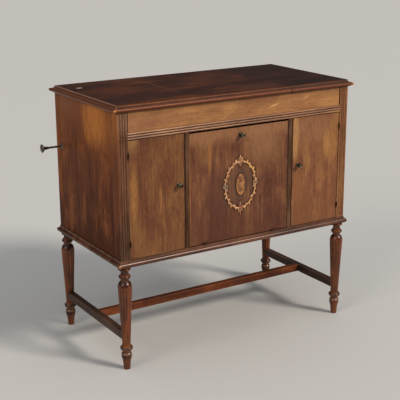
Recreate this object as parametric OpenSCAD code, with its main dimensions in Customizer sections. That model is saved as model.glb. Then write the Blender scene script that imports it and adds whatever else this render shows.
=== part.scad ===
// Gramophone cabinet: a console case on fluted legs, with a lid over the turntable,
// two record cupboards and a flap in front of the horn. Millimetres, +Z up.
// The origin is on the floor, midway between the four legs; the front faces -Y.

/* [Case] */
// Width of the case over its corner posts
case_w = 890; // [870:2:920]
// Depth of the case, front face to back face
case_d = 452; // [440:2:480]
// Height of the whole cabinet, floor to top
total_h = 860; // [850:1:880]
// Thickness of a side board
side_t = 18; // [16:1:20]
// Thickness of the back board
back_t = 10; // [8:1:12]
// Width of a corner post, seen from the front
post_w = 33; // [31:1:38]
// Depth of a front corner post, seen from the side
post_d = 36; // [34:1:42]
// Depth of a back corner post
back_post_d = 28; // [24:1:32]
// Thickness of the boards between the bays
partition_t = 14; // [12:1:18]
// Clear width of the middle bay
centre_bay_w = 392; // [380:2:410]
// Height of the frieze rail under the top
frieze_h = 63.5; // [58:0.5:70]
// Height of the beaded rail over the doors
bead_rail_h = 23.5; // [21:0.5:26]
// How far the flat rails lie behind the posts' front
rail_in = 1.5; // [1:0.5:2]

/* [Top and base] */
// Thickness of the top
top_t = 22; // [20:1:26]
// How far the top stands out past the case at each end
top_over_x = 16; // [14:1:20]
// How far the top stands out past the case in front and behind
top_over_y = 12; // [11:1:14]
// Place of the joint between the lid and the fixed top, right of the middle
seam_x = 197; // [190:1:204]
// Width of that joint
seam_w = 1.5; // [1:0.5:2]
// Gap under the closed lid
lid_gap = 0.5; // [0.4:0.1:1]
// Thickness of the moulded base board
base_t = 24; // [22:1:28]
// How far the base board stands out past the case at each end
base_over_x = 11; // [10:1:14]
// How far the base board stands out past the case in front and behind
base_over_y = 9; // [8:1:12]

/* [Legs] */
// Height of a leg
leg_h = 347; // [340:1:360]
// Distance of a leg's centre line inside the case's end
leg_in_x = 17; // [15:1:24]
// Distance of a leg's centre line inside the case's front and back
leg_in_y = 13; // [12:1:24]
// Greatest radius of the tapered leg
leg_r = 22.8; // [21:0.2:23.6]
// Radius at the thin end of the taper
leg_thin_r = 13.2; // [12.6:0.2:14]
// Flutes round a leg
leg_flutes = 12; // [8:1:14]
// Height of the stretchers' underside above the floor
stretcher_z = 101; // [96:1:130]
// Height of a stretcher's section
stretcher_h = 25; // [20:1:30]
// Thickness of a stretcher
stretcher_t = 22; // [18:1:24]
// Length of the tenons on the stretchers
tenon_l = 9; // [6:1:10]

/* [Doors] */
// Thickness of a door
door_t = 18; // [16:1:20]
// Gap round the side doors
door_gap = 1.5; // [1:0.25:2]
// How far the doors lie behind the posts' front
door_in = 1; // [0.5:0.5:1.5]
// Gap over the flap
flap_top_gap = 5.5; // [4:0.5:7]
// Gap under the flap
flap_low_gap = 2.5; // [2:0.25:3]
// Greatest radius of a door knob
knob_r = 10; // [8:0.5:12]
// Length of a door knob
knob_l = 20; // [18:1:24]
// Distance of a side door's knob from its free edge
knob_in = 24; // [18:1:40]
// Height of the side doors' knobs above the doors' middle
knob_up = 26.5; // [0:0.5:60]
// Distance of the flap's knob below its upper edge
flap_knob_down = 25; // [18:1:40]
// Distance of the hinges from the doors' ends
hinge_in = 48; // [40:1:70]

/* [Ornament] */
// Half the width of the wreath
wreath_a = 69; // [62:1:74]
// Half the height of the wreath
wreath_b = 87; // [80:1:92]
// How far the wreath's centre lies below the flap's middle
wreath_down = 6; // [0:1:20]
// Leaves round the wreath
wreath_leaves = 32; // [20:2:44]
// Half the width of the patera in the wreath
patera_a = 18.5; // [15:0.5:21]
// Half the height of the patera
patera_b = 36.5; // [30:0.5:40]

/* [Deck] */
// Height of the well over the deck
well_h = 124.5; // [124:0.5:130]
// Thickness of the deck
deck_t = 12; // [10:1:14]
// Thickness of the board in front of the well
well_board_t = 12; // [10:1:14]
// Radius of the turntable
platter_r = 152.5; // [127:0.5:155]
// Height of the turntable's rim
platter_h = 18; // [16:1:20]
// Thickness of the felt on the turntable
felt_t = 2; // [1:0.5:3]
// Radius of the record pin
pin_r = 3.6; // [3.5:0.05:3.65]
// Height of the record pin above the turntable
pin_h = 15; // [12:1:16]
// Place of the turntable, left of the middle
platter_left = 110; // [100:1:120]
// Place of the turntable, behind the middle
platter_back = 40; // [36:1:44]

/* [Sound arm] */
// Place of the arm's pivot, right of the middle
arm_right = 105; // [100:1:110]
// Place of the arm's pivot, behind the middle
arm_back = 120; // [115:1:125]
// Height of the arm's centre line above the deck
arm_h = 59.5; // [59:0.5:62]
// Length from the arm's pivot to the crook's pivot
arm_l = 185; // [180:1:188]
// Radius of the arm at its thick end
arm_r = 14.5; // [13:0.5:15]
// Radius of the arm at its thin end
arm_thin_r = 8; // [7:0.5:8]
// Radius of the sound box
sound_box_r = 26; // [24:0.5:26]
// Thickness of the sound box
sound_box_t = 16; // [13:1:17]

/* [Horn and winder] */
// Radius of the horn's throat
throat_r = 19; // [17:0.5:20]
// Wall of the throat
throat_wall = 4; // [3:0.5:5]
// Radius of the throat's bend
throat_bend = 60; // [55:1:65]
// Height of the throat's mouth above the base board
throat_up = 119; // [115:1:125]
// Wall of the wooden horn
horn_wall = 5; // [4:0.5:6]
// Height of the horn's mouth
horn_mouth_h = 208; // [190:1:216]
// Depth of the winding shaft below the deck
winder_down = 42; // [41:1:46]
// Distance of the winding shaft inside the case's back face
winder_in = 41; // [40:1:46]
// Length of the winding shaft outside the case
winder_out = 76; // [60:1:90]
// Radius of the winding shaft
winder_r = 3.5; // [3:0.25:4]
// Teeth of the winding pinion
pinion_teeth = 14; // [12:1:16]
// Teeth of the barrel gear
barrel_teeth = 42; // [40:1:44]
// Gear module
gear_module = 1.25; // [1.2:0.05:1.3]

/* [Hidden] */
$fn = 64;

wood = [0.52, 0.33, 0.2];
dark_wood = [0.34, 0.2, 0.13];
brass = [0.72, 0.6, 0.35];
steel = [0.62, 0.62, 0.6];
nickel = [0.75, 0.74, 0.7];

eps = 0.01;
run_gap = 0.05; // radial clearance of a turning pin
seat_gap = 0.3; // clearance between pieces that move past each other

// Heights
base_top = leg_h + base_t;
case_top = total_h - top_t;
lid_under = case_top + lid_gap;
deck_top = lid_under - well_h;
deck_low = deck_top - deck_t;
winder_z = deck_low - winder_down;
frieze_low = case_top - frieze_h;
opening_top = frieze_low - bead_rail_h;

// Planes of the case
front_y = -case_d / 2;
back_y = case_d / 2;
back_in_y = back_y - back_t;
post_in_x = case_w / 2 - post_w;
post_back_y = front_y + post_d;
winder_back = back_y - winder_in;
back_post_y = back_y - back_post_d;
panel_in = 1;
panel_out_x = case_w / 2 - panel_in;
panel_in_x = panel_out_x - side_t;
door_face_y = front_y + door_in;
door_back_y = door_face_y + door_t;
rail_face_y = front_y + rail_in;
frame_y = door_back_y + 0.5;
well_front_y = frame_y + well_board_t;
bay_x = centre_bay_w / 2;
partition_out_x = bay_x + partition_t;
top_w = case_w + 2 * top_over_x;
top_d = case_d + 2 * top_over_y;
base_w = case_w + 2 * base_over_x;
base_d = case_d + 2 * base_over_y;
leg_x = case_w / 2 - leg_in_x;
leg_y = case_d / 2 - leg_in_y;

// A board with one moulded section worked all round, as cut on four mitred edges.
module moulded_board(w, d) {
    intersection() {
        rotate([90, 0, 90])
            linear_extrude(w + 2, center = true)
                children(0);
        rotate([90, 0, 0])
            linear_extrude(d + 2, center = true)
                children(1);
    }
}

module box(lo, hi) {
    translate(lo)
        cube(hi - lo);
}

// A board that stands as a mirror pair: side is -1 on the left and 1 on the right.
module side_box(side, lo, hi) {
    x0 = side > 0 ? lo.x : -hi.x;
    x1 = side > 0 ? hi.x : -lo.x;
    box([x0, lo.y, lo.z], [x1, hi.y, hi.z]);
}

// ---- Top -------------------------------------------------------------------

top_fillet_in = 15.5; // the flat field starts this far inside the nose
top_nose_r = 5;
top_nose_z = 8;
top_low_in = 8;
top_cove_h = 6.5;

// Section of the top: field, fillet, shallow cove, round nose and a set-back underside.
module top_section(w) {
    steps = 6;
    low_x = w / 2 - top_low_in;
    nose_x = w / 2 - top_nose_r;
    fillet_x = w / 2 - top_fillet_in;
    cove_low = top_nose_z + top_nose_r;
    cove_run = nose_x - fillet_x;
    cove_r = (cove_run * cove_run + top_cove_h * top_cove_h) / (2 * top_cove_h);
    cove_turn = asin(cove_run / cove_r);
    edge = concat(
        [[low_x, 0], [low_x, top_nose_z - top_nose_r], [nose_x, top_nose_z - top_nose_r]],
        [for (i = [0:steps]) let(a = cove_turn * i / steps)
            [nose_x - cove_r * sin(a), cove_low + cove_r * (1 - cos(a))]],
        [[fillet_x, top_t]]
    );
    n = len(edge);
    polygon(concat(edge, [for (i = [n - 1:-1:0]) [-edge[i].x, edge[i].y]]));
    for (side = [-1, 1])
        translate([side * nose_x, top_nose_z])
            circle(top_nose_r);
}

module whole_top() {
    translate([0, 0, case_top])
        moulded_board(top_w, top_d) {
            top_section(top_d);
            top_section(top_w);
        }
}

module fixed_top() {
    color(dark_wood)
        intersection() {
            whole_top();
            box([seam_x + seam_w / 2, -top_d, 0], [top_w, top_d, total_h + 1]);
        }
}

module lid() {
    color(dark_wood)
        difference() {
            intersection() {
                whole_top();
                box([-top_w, -top_d, lid_under], [seam_x - seam_w / 2, top_d, total_h + 1]);
            }
            lid_hinges()
                hinge_pocket(lid_hinge_drop);
        }
}

// ---- Base board and legs ---------------------------------------------------

base_nose_r = 8.5;
base_nose_z = 9;
base_low_in = 7;
base_fillet_in = 8;

module base_section(w) {
    half = w / 2;
    nose_x = half - base_nose_r;
    translate([-half + base_low_in, 0])
        square([2 * (half - base_low_in), base_nose_z]);
    translate([-nose_x, base_nose_z - base_nose_r])
        square([2 * nose_x, 2 * base_nose_r]);
    translate([-half + base_fillet_in, base_nose_z])
        square([2 * (half - base_fillet_in), base_t - base_nose_z]);
    for (side = [-1, 1])
        translate([side * nose_x, base_nose_z])
            circle(base_nose_r);
}

module base_board() {
    color(wood)
        difference() {
            translate([0, 0, leg_h])
                moulded_board(base_w, base_d) {
                    base_section(base_d);
                    base_section(base_w);
                }
            flap_hinges()
                mirror([0, 0, 1])
                    hinge_pocket(flap_low_gap);
        }
}

// Turned leg, from the foot up. The taper runs between these two heights.
taper_low = 84;
taper_top = leg_h - 65;
shoulder_top = leg_h - 44;
neck_r = 12.6;
collar_z = leg_h - 31;
collar_r = 5.2;
collar_out_r = 19.6;
top_ring_z = leg_h - 5;
foot_ring_z = 74;
foot_ring_r = 7;
foot_r = 10.4;
foot_bulb_r = 17.4;
foot_bulb_z = 50;
foot_neck_z = 61;
waist_r = 12.4;
waist_z = 24;

function leg_radius(z) =
    leg_thin_r + (z - taper_low) * (leg_r - leg_thin_r) / (taper_top - taper_low);

// Radius of the circle whose centre is level with the bulge and which passes through (r, dz).
function bulge_r(r_max, r_end, dz) =
    ((r_max - r_end) * (r_max - r_end) + dz * dz) / (2 * (r_max - r_end));

// Points down one side of a swelling, in short straight steps so that flutes can be cut in it.
function swell(r_max, r_end, z_max, z0, z1, steps) = let(
    r = bulge_r(r_max, r_end, abs((z_max == z0 ? z1 : z0) - z_max))
) [
    for (i = [0:steps]) let(z = z0 + (z1 - z0) * i / steps)
        [r_max - r + sqrt(r * r - (z - z_max) * (z - z_max)), z]
];

// Profile of a leg from the foot up: toe, bulb, ring, taper, shoulder, neck and two collars.
module leg_section() {
    collar_half = 7;
    collar_in_r = 15.8;
    polygon(concat(
        [[0, 0], [foot_r - 0.6, 0], [foot_r, 0.8], [waist_r, waist_z]],
        swell(foot_bulb_r, waist_r + 1.9, foot_bulb_z, 35, foot_bulb_z, 4),
        swell(foot_bulb_r, neck_r, foot_bulb_z, foot_bulb_z, foot_neck_z, 5),
        [[neck_r, foot_ring_z - 9], [15.5, foot_ring_z - 9], [15.5, foot_ring_z + 9],
            [leg_thin_r, foot_ring_z + 9], [leg_thin_r, taper_low]],
        swell(leg_r, neck_r + 0.6, taper_top, taper_top, shoulder_top, 8),
        [[neck_r, shoulder_top], [neck_r, collar_z - collar_half],
            [collar_in_r, collar_z - collar_half], [collar_in_r, collar_z + collar_half],
            [neck_r, collar_z + collar_half], [neck_r, top_ring_z - 4],
            [15, top_ring_z - 4], [15, leg_h], [0, leg_h]]
    ));
    translate([20.7 - foot_ring_r, foot_ring_z])
        circle(foot_ring_r);
    translate([collar_out_r - collar_r, collar_z])
        circle(collar_r);
    translate([17, top_ring_z - 0.5])
        circle(3);
}

// The flutes follow the taper and end in a round scoop under the shoulder.
module leg_cutters() {
    low_z = taper_low + 1;
    top_z = taper_top - 2;
    cut_low_r = 2.7;
    cut_top_r = 4.3;
    cut_low = 1.3;
    cut_top = 1.9;
    low_x = leg_radius(low_z) + cut_low_r - cut_low;
    top_x = leg_radius(top_z) + cut_top_r - cut_top;
    run = top_z - low_z;
    tilt = atan2(top_x - low_x, run);
    toe_tilt = atan2(waist_r - foot_r, waist_z);
    for (i = [0:leg_flutes - 1])
        rotate([0, 0, (i + 0.5) * 360 / leg_flutes]) {
            translate([low_x, 0, low_z])
                rotate([0, tilt, 0]) {
                    cylinder(h = run / cos(tilt), r1 = cut_low_r, r2 = cut_top_r, $fn = 32);
                    translate([0, 0, run / cos(tilt)])
                        sphere(r = cut_top_r, $fn = 32);
                }
            translate([foot_r + 1.5, 0, -1])
                rotate([0, toe_tilt, 0])
                    cylinder(h = 38, r1 = 2.6, r2 = 2.2, $fn = 24);
        }
}

module mortise(y_sign) {
    translate([-tenon_t / 2, y_sign > 0 ? 0 : -leg_thin_r - 6, stretcher_z + tenon_shoulder])
        cube([tenon_t, leg_thin_r + 6, tenon_h]);
}

tenon_shoulder = 4;
tenon_h = stretcher_h - 2 * tenon_shoulder;
tenon_t = 8;

module leg(side_x, side_y) {
    color(wood)
        translate([side_x * leg_x, side_y * leg_y, 0])
            difference() {
                rotate_extrude($fn = 96)
                    leg_section();
                leg_cutters();
                // the stretcher's mortise, open towards the middle of the cabinet
                intersection() {
                    mortise(-side_y);
                    translate([0, 0, stretcher_z])
                        difference() {
                            cylinder(r = 40, h = stretcher_h);
                            cylinder(r = leg_thin_r - tenon_l, h = stretcher_h);
                        }
                }
            }
}

// Side stretchers are coped to the legs' taper and tenoned into them.
module side_stretcher(side) {
    end_y = leg_y - leg_thin_r + tenon_l;
    color(dark_wood)
        translate([side * leg_x, 0, 0])
            difference() {
                union() {
                    difference() {
                        translate([-stretcher_t / 2, -leg_y, stretcher_z])
                            cube([stretcher_t, 2 * leg_y, stretcher_h]);
                        for (s = [-1, 1])
                            translate([0, s * leg_y, stretcher_z - 1])
                                cylinder(
                                    h = stretcher_h + 2,
                                    r1 = leg_radius(stretcher_z - 1) + seat_gap / 2,
                                    r2 = leg_radius(stretcher_z + stretcher_h + 1) + seat_gap / 2
                                );
                    }
                    translate([-tenon_t / 2, -end_y + 0.2, stretcher_z + tenon_shoulder])
                        cube([tenon_t, 2 * end_y - 0.4, tenon_h]);
                }
                translate([side > 0 ? -stretcher_t : 0, -tenon_t / 2, stretcher_z + tenon_shoulder])
                    translate([side > 0 ? stretcher_t / 2 : stretcher_t / 2 - tenon_l, 0, 0])
                        cube([tenon_l, tenon_t, tenon_h]);
            }
}

module centre_stretcher() {
    body_l = 2 * (leg_x - stretcher_t / 2);
    color(wood) {
        translate([-body_l / 2, -stretcher_t / 2, stretcher_z])
            cube([body_l, stretcher_t, stretcher_h]);
        translate([-body_l / 2 - tenon_l, -tenon_t / 2, stretcher_z + tenon_shoulder])
            cube([body_l + 2 * tenon_l, tenon_t, tenon_h]);
    }
}

// ---- Case ------------------------------------------------------------------

flute_r = 2.9;
flute_deep = 1.7;
flute_count = 3;
flute_stop = 5; // the flutes end this far from the post's ends

// Front corner post with stopped flutes in its front face.
module front_post(side) {
    pitch = post_w / (flute_count + 1);
    low_z = base_top + flute_stop + flute_r;
    top_z = case_top - flute_stop - flute_r;
    color(wood)
        difference() {
            side_box(side, [post_in_x, front_y, base_top], [case_w / 2, post_back_y, case_top]);
            for (i = [1:flute_count])
                translate([side * (post_in_x + i * pitch), front_y - flute_r + flute_deep, 0]) {
                    translate([0, 0, low_z])
                        cylinder(r = flute_r, h = top_z - low_z, $fn = 32);
                    for (z = [low_z, top_z])
                        translate([0, 0, z])
                            sphere(r = flute_r, $fn = 32);
                }
            if (side < 0)
                left_door_hinges()
                    mirror([0, 0, 1])
                        hinge_pocket(door_gap / 2);
            if (side > 0)
                right_door_hinges()
                    mirror([0, 0, 1])
                        hinge_pocket(door_gap / 2);
        }
}

module back_post(side) {
    color(wood)
        side_box(side, [post_in_x, back_post_y, base_top], [case_w / 2, back_y, case_top]);
}

module side_panel(side) {
    color(wood)
        difference() {
            side_box(side, [panel_in_x, post_back_y, base_top],
                [panel_out_x, back_post_y, case_top]);
            if (side < 0) {
                translate([-panel_out_x - 1, winder_back, winder_z])
                    rotate([0, 90, 0])
                        cylinder(r = winder_r + 1.5, h = side_t + 2);
                translate([-panel_in_x - stay_pin_l, stay_pivot_y, stay_z])
                    rotate([0, 90, 0])
                        cylinder(r = stay_pin_r + run_gap, h = stay_pin_l + 1);
            }
        }
}

module back_panel() {
    color(dark_wood)
        box([-post_in_x, back_in_y, base_top], [post_in_x, back_y, case_top]);
}

shadow_w = 3; // open line between the frieze and each post
shadow_deep = 5;

module frieze_rail() {
    color(wood)
        difference() {
            box([-post_in_x, rail_face_y, frieze_low], [post_in_x, frame_y, case_top]);
            for (side = [-1, 1])
                side_box(side, [post_in_x - shadow_w, front_y, frieze_low - 1],
                    [post_in_x + 1, rail_face_y + shadow_deep, case_top + 1]);
        }
}

bead_count = 3;
bead_r = 3.4;

// Rail over the doors with three half-round beads run along it.
module bead_rail() {
    step = bead_rail_h / bead_count;
    color(wood)
        translate([-post_in_x, 0, 0])
            rotate([90, 0, 90])
                linear_extrude(2 * post_in_x) {
                    translate([rail_face_y, opening_top])
                        square([frame_y - rail_face_y, bead_rail_h]);
                    for (i = [0:bead_count - 1])
                        translate([rail_face_y, opening_top + (i + 0.5) * step])
                            circle(bead_r, $fn = 48);
                }
}

module well_front_board() {
    color(dark_wood)
        box([-post_in_x, frame_y, deck_low], [post_in_x, well_front_y, case_top]);
}

module stile(side) {
    color(wood)
        side_box(side, [bay_x, door_face_y, base_top], [partition_out_x, frame_y, opening_top]);
}

module partition(side) {
    color(wood)
        difference() {
            side_box(side, [bay_x, frame_y, base_top], [partition_out_x, back_in_y, deck_low]);
            if (side < 0)
                translate([-partition_out_x - 1, winder_back, winder_z])
                    rotate([0, 90, 0])
                        cylinder(r = winder_r + 1.5, h = partition_t + 2);
            // notch under the board that closes the well in front
            side_box(side, [bay_x - 1, frame_y - 1, deck_low], [partition_out_x + 1, well_front_y, case_top]);
        }
}

// ---- Deck ------------------------------------------------------------------

module motor_board() {
    color(wood)
        difference() {
            box([-panel_in_x, well_front_y, deck_low], [panel_in_x, back_in_y, deck_top]);
            for (side = [-1, 1]) {
                side_box(side, [post_in_x, front_y, 0], [case_w / 2, post_back_y, total_h]);
                side_box(side, [post_in_x, back_post_y, 0], [case_w / 2, back_y, total_h]);
            }
            translate([-platter_left, platter_back, deck_low - 1])
                cylinder(r = deck_hole_r, h = deck_t + 2);
            translate([arm_right, arm_back, deck_low - 1])
                cylinder(r = throat_r, h = deck_t + 2);
            for (x = cup_x)
                translate([x, cup_y, deck_low - 1])
                    cylinder(r = cup_r + 0.1, h = deck_t + 2);
            for (p = lever_pivots)
                translate([p.x, p.y, deck_low - 1])
                    cylinder(r = lever_pin_r + run_gap, h = deck_t + 2, $fn = 32);
        }
}

deck_hole_r = 9;
lid_partition_t = 18;

module lid_partition() {
    color(dark_wood)
        box([seam_x - lid_partition_t / 2, well_front_y, deck_top],
            [seam_x + lid_partition_t / 2, back_in_y, case_top]);
}

cup_r = 19;
cup_wall = 1.2;
cup_flange = 2;
cup_in = 100; // the first cup's distance from the case's end
cup_pitch = 50;
cup_front = 78;
cup_x = [-case_w / 2 + cup_in, -case_w / 2 + cup_in + cup_pitch];
cup_y = front_y + cup_front;

module needle_cups() {
    color(nickel)
        for (x = cup_x)
            translate([x, cup_y, deck_low + 1])
                rotate_extrude()
                    polygon([[0, 0], [cup_r - 2, 0], [cup_r, 2], [cup_r, deck_t - 1],
                        [cup_r + 4, deck_t - 1], [cup_r + 4, deck_t - 1 + cup_flange],
                        [cup_r - cup_wall, deck_t - 1 + cup_flange], [cup_r - cup_wall, 3],
                        [cup_r - 3, cup_wall], [0, cup_wall]]);
}

// ---- Turntable -------------------------------------------------------------

platter_low = deck_top + 4;
platter_top = platter_low + platter_h;
platter_web = 3;
hub_r = 15;

module at_platter() {
    translate([-platter_left, platter_back, 0])
        children();
}

// Spun steel turntable with a rolled rim and a hub on the spindle.
module platter() {
    color(steel)
        at_platter()
            translate([0, 0, platter_low])
                rotate_extrude($fn = 128) {
                    polygon([[pin_low_r + 0.02, platter_h - 14], [hub_r, platter_h - 14],
                        [hub_r + 4, platter_h - platter_web],
                        [platter_r - platter_web - 3, platter_h - platter_web],
                        [platter_r - platter_web, platter_h - platter_web - 3],
                        [platter_r - platter_web, 0], [platter_r - 1, 0], [platter_r, 2],
                        [platter_r, platter_h - 4], [platter_r - 4, platter_h],
                        [pin_low_r + 0.02, platter_h]]);
                }
}

module platter_felt() {
    color("#2f4a38")
        at_platter()
            translate([0, 0, platter_top])
                difference() {
                    cylinder(r = platter_r - 5, h = felt_t, $fn = 128);
                    translate([0, 0, -1])
                        cylinder(r = 12, h = felt_t + 2);
                }
}

pin_low_r = 5;
pin_tip = 2;
bearing_deep = 50;

module record_pin() {
    low = deck_low - bearing_deep;
    color(nickel)
        at_platter() {
            translate([0, 0, low])
                cylinder(r = pin_low_r, h = platter_top - low);
            translate([0, 0, platter_top])
                cylinder(r = pin_r, h = pin_h - pin_tip);
            translate([0, 0, platter_top + pin_h - pin_tip])
                cylinder(r1 = pin_r, r2 = pin_r - 1.4, h = pin_tip);
        }
}

// ---- Levers on the deck ----------------------------------------------------

lever_pin_r = 2.5;
lever_t = 4;
brake_reach = 57.5;
brake_angle = 151.6; // direction from the brake's pivot to the turntable's centre
brake_pad_r = 5;
brake_pivot = [
    -platter_left - (platter_r + brake_reach) * cos(brake_angle),
    platter_back - (platter_r + brake_reach) * sin(brake_angle)
];
speed_in = 85; // distance of the speed lever's pivot left of the arm's pivot
speed_pivot = [arm_right - speed_in, front_y + cup_front - 2];
lever_pivots = [brake_pivot, speed_pivot];

module lever(p, angle, reach, end_r, lift) {
    translate([p.x, p.y, deck_top])
        rotate([0, 0, angle]) {
            translate([0, 0, -deck_t + 2])
                cylinder(r = lever_pin_r, h = deck_t, $fn = 32);
            translate([0, 0, seat_gap])
                cylinder(r = 8, h = lift + lever_t - seat_gap);
            translate([0, -3.5, lift])
                cube([reach, 7, lever_t]);
            translate([reach, 0, lift])
                cylinder(r = end_r, h = lever_t);
        }
}

module brake_lever() {
    color(nickel)
        lever(brake_pivot, brake_angle, brake_reach - brake_pad_r - seat_gap, brake_pad_r, 8);
}

module speed_lever() {
    color(nickel)
        lever(speed_pivot, -90, 30, 5.5, 3);
}

// ---- Sound arm -------------------------------------------------------------

arm_base_r = 34;
arm_base_t = 6;
arm_socket_h = 31;
arm_collar_h = 6;
arm_bore_r = 10;
arm_end_bend = 15;
arm_band = 5; // raised bands where the arm's taper begins and ends
crook_r = 18; // the crook's two legs stand twice this apart
crook_tube_r = 6.5;
needle_reach = 37.5;
needle_angle = 65; // below the arm's line

module tonearm_base() {
    color(nickel)
        translate([arm_right, arm_back, deck_top])
            difference() {
                union() {
                    cylinder(r = arm_base_r, h = arm_base_t);
                    translate([0, 0, arm_base_t - eps])
                        cylinder(r1 = arm_base_r - 7, r2 = throat_r + 4, h = 6);
                    cylinder(r = throat_r + 4, h = arm_socket_h);
                }
                translate([0, 0, -1])
                    cylinder(r = throat_r, h = arm_socket_h + 2);
            }
}

// The arm's own frame: X along the arm, Z up, the pivot at the origin on the deck.
module at_arm() {
    translate([arm_right, arm_back, deck_top])
        rotate([0, 0, -90])
            children();
}

module tonearm() {
    bend = arm_h - arm_socket_h - arm_collar_h - seat_gap;
    taper_l = arm_l - arm_end_bend - bend;
    color(nickel)
        at_arm() {
            difference() {
                union() {
                    translate([0, 0, arm_socket_h - 12])
                        cylinder(r = throat_r - run_gap, h = 12 + seat_gap);
                    translate([0, 0, arm_socket_h + seat_gap])
                        cylinder(r = throat_r + 3, h = arm_collar_h + 1);
                }
                translate([0, 0, arm_socket_h - 13])
                    cylinder(r = arm_bore_r, h = 30);
            }
            // bend from upright to level
            translate([bend, 0, arm_h - bend])
                rotate([90, 0, 0])
                    rotate([0, 0, 90])
                        rotate_extrude(angle = 90)
                            translate([bend, 0])
                                circle(arm_r);
            translate([bend, 0, arm_h])
                rotate([0, 90, 0]) {
                    cylinder(r1 = arm_r, r2 = arm_thin_r, h = taper_l);
                    for (b = [[0, arm_r], [taper_l, arm_thin_r]])
                        translate([0, 0, b[0] - arm_band / 2])
                            cylinder(r = b[1] + 1, h = arm_band);
                }
            // level bend to the crook's pivot
            translate([arm_l - arm_end_bend, arm_end_bend, arm_h])
                rotate([0, 0, -90])
                    rotate_extrude(angle = 90)
                        translate([arm_end_bend, 0])
                            circle(arm_thin_r);
            translate([arm_l, arm_end_bend - 1, arm_h])
                rotate([-90, 0, 0])
                    cylinder(r = arm_thin_r + 1.2, h = 4);
        }
}

crook_y = arm_end_bend + 3 + seat_gap;
sound_box_back = 10;
sound_box_x = arm_l + 2 * crook_r;
sound_box_rim = 3;
sound_box_face_y = sound_box_back - sound_box_t + sound_box_rim; // the diaphragm

// The crook turns on the arm's end and carries the sound box.
module sound_box() {
    rim = sound_box_rim;
    color(nickel)
        at_arm()
            translate([0, 0, arm_h]) {
                translate([arm_l, crook_y, 0])
                    rotate([-90, 0, 0])
                        cylinder(r = arm_thin_r + 1.2, h = 3);
                translate([arm_l + crook_r, crook_y + 3 - eps, 0])
                    rotate_extrude(angle = 180)
                        translate([crook_r, 0])
                            circle(crook_tube_r);
                translate([sound_box_x, sound_box_back - eps, 0])
                    rotate([-90, 0, 0])
                        cylinder(r = crook_tube_r, h = crook_y + 3 - sound_box_back + 2 * eps);
                translate([sound_box_x, sound_box_back, 0])
                    rotate([90, 0, 0])
                        rotate_extrude($fn = 96)
                            polygon([[0, 0], [sound_box_r - 4, 0], [sound_box_r, 4],
                                [sound_box_r, sound_box_t - 1], [sound_box_r - 1, sound_box_t],
                                [sound_box_r - rim, sound_box_t],
                                [sound_box_r - rim - 2, sound_box_t - rim], [0, sound_box_t - rim]]);
            }
}

// Needle bar, chuck and needle at the sound box's lower edge.
module needle() {
    chuck_l = 7;
    chuck_z = sound_box_r + seat_gap;
    bar_y = sound_box_back - sound_box_t - 1.5;
    color(steel)
        at_arm()
            translate([sound_box_x, bar_y, arm_h])
                rotate([0, 90 + needle_angle, 0]) {
                    cylinder(r = 1.4, h = chuck_z + 1);
                    translate([0, -bar_y + sound_box_face_y, 0])
                        rotate([90, 0, 0])
                            cylinder(r = 3, h = -bar_y + sound_box_face_y);
                    translate([0, 0, chuck_z])
                        cylinder(r = 2.6, h = chuck_l);
                    translate([0, 0, chuck_z + chuck_l - 1])
                        cylinder(r1 = 0.9, r2 = 0.2, h = needle_reach - chuck_z - chuck_l + 1);
                }
}

// ---- Horn ------------------------------------------------------------------

grille_t = 8;
cloth_t = 1;
throat_z = base_top + throat_up;
throat_y = arm_back - throat_bend;
horn_mouth_y = frame_y + grille_t + cloth_t + 0.3;
horn_mouth_z = base_top + horn_mouth_h / 2 + 11;
horn_flange = 5;
horn_rings = 10;
horn_sides = 24;

// Iron throat from the arm's base down and forward to the horn.
module horn_throat() {
    out_r = throat_r + throat_wall;
    straight = deck_low - throat_z - throat_bend;
    color([0.2, 0.2, 0.2])
        translate([arm_right, 0, 0]) {
            translate([0, arm_back, deck_low - straight])
                difference() {
                    union() {
                        translate([0, 0, straight - horn_flange])
                            cylinder(r = out_r + 10, h = horn_flange);
                        cylinder(r = out_r + 3, h = horn_flange);
                        cylinder(r = out_r, h = straight);
                    }
                    translate([0, 0, -1])
                        cylinder(r = throat_r, h = straight + 2);
                }
            translate([0, throat_y, throat_z + throat_bend])
                rotate([-90, 0, 90])
                    rotate_extrude(angle = 90)
                        translate([throat_bend, 0])
                            difference() {
                                circle(out_r);
                                circle(throat_r);
                            }
        }
}

// One ring of the horn at t from 0, the throat, to 1, the mouth. Its half width and half
// height grow by a steady factor, and its corners go from round to square.
function horn_ring(t, grow) = let(
    r0 = throat_r + 1,
    half_w = r0 * pow((bay_x - 9) / r0, t),
    half_h = r0 * pow((horn_mouth_h / 2 - 4) / r0, t),
    y = throat_y - 0.3 + t * (horn_mouth_y - throat_y + 0.3),
    square_power = 2 + 8 * t
) [
    for (i = [0:horn_sides - 1]) let(
        a = (i + 0.5) * 360 / horn_sides,
        k = pow(pow(abs(cos(a)), square_power) + pow(abs(sin(a)), square_power), -1 / square_power)
    ) [
        arm_right * (1 - t) + (half_w + grow) * k * cos(a),
        y,
        throat_z + t * (horn_mouth_z - throat_z) + (half_h + grow) * k * sin(a)
    ]
];

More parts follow.
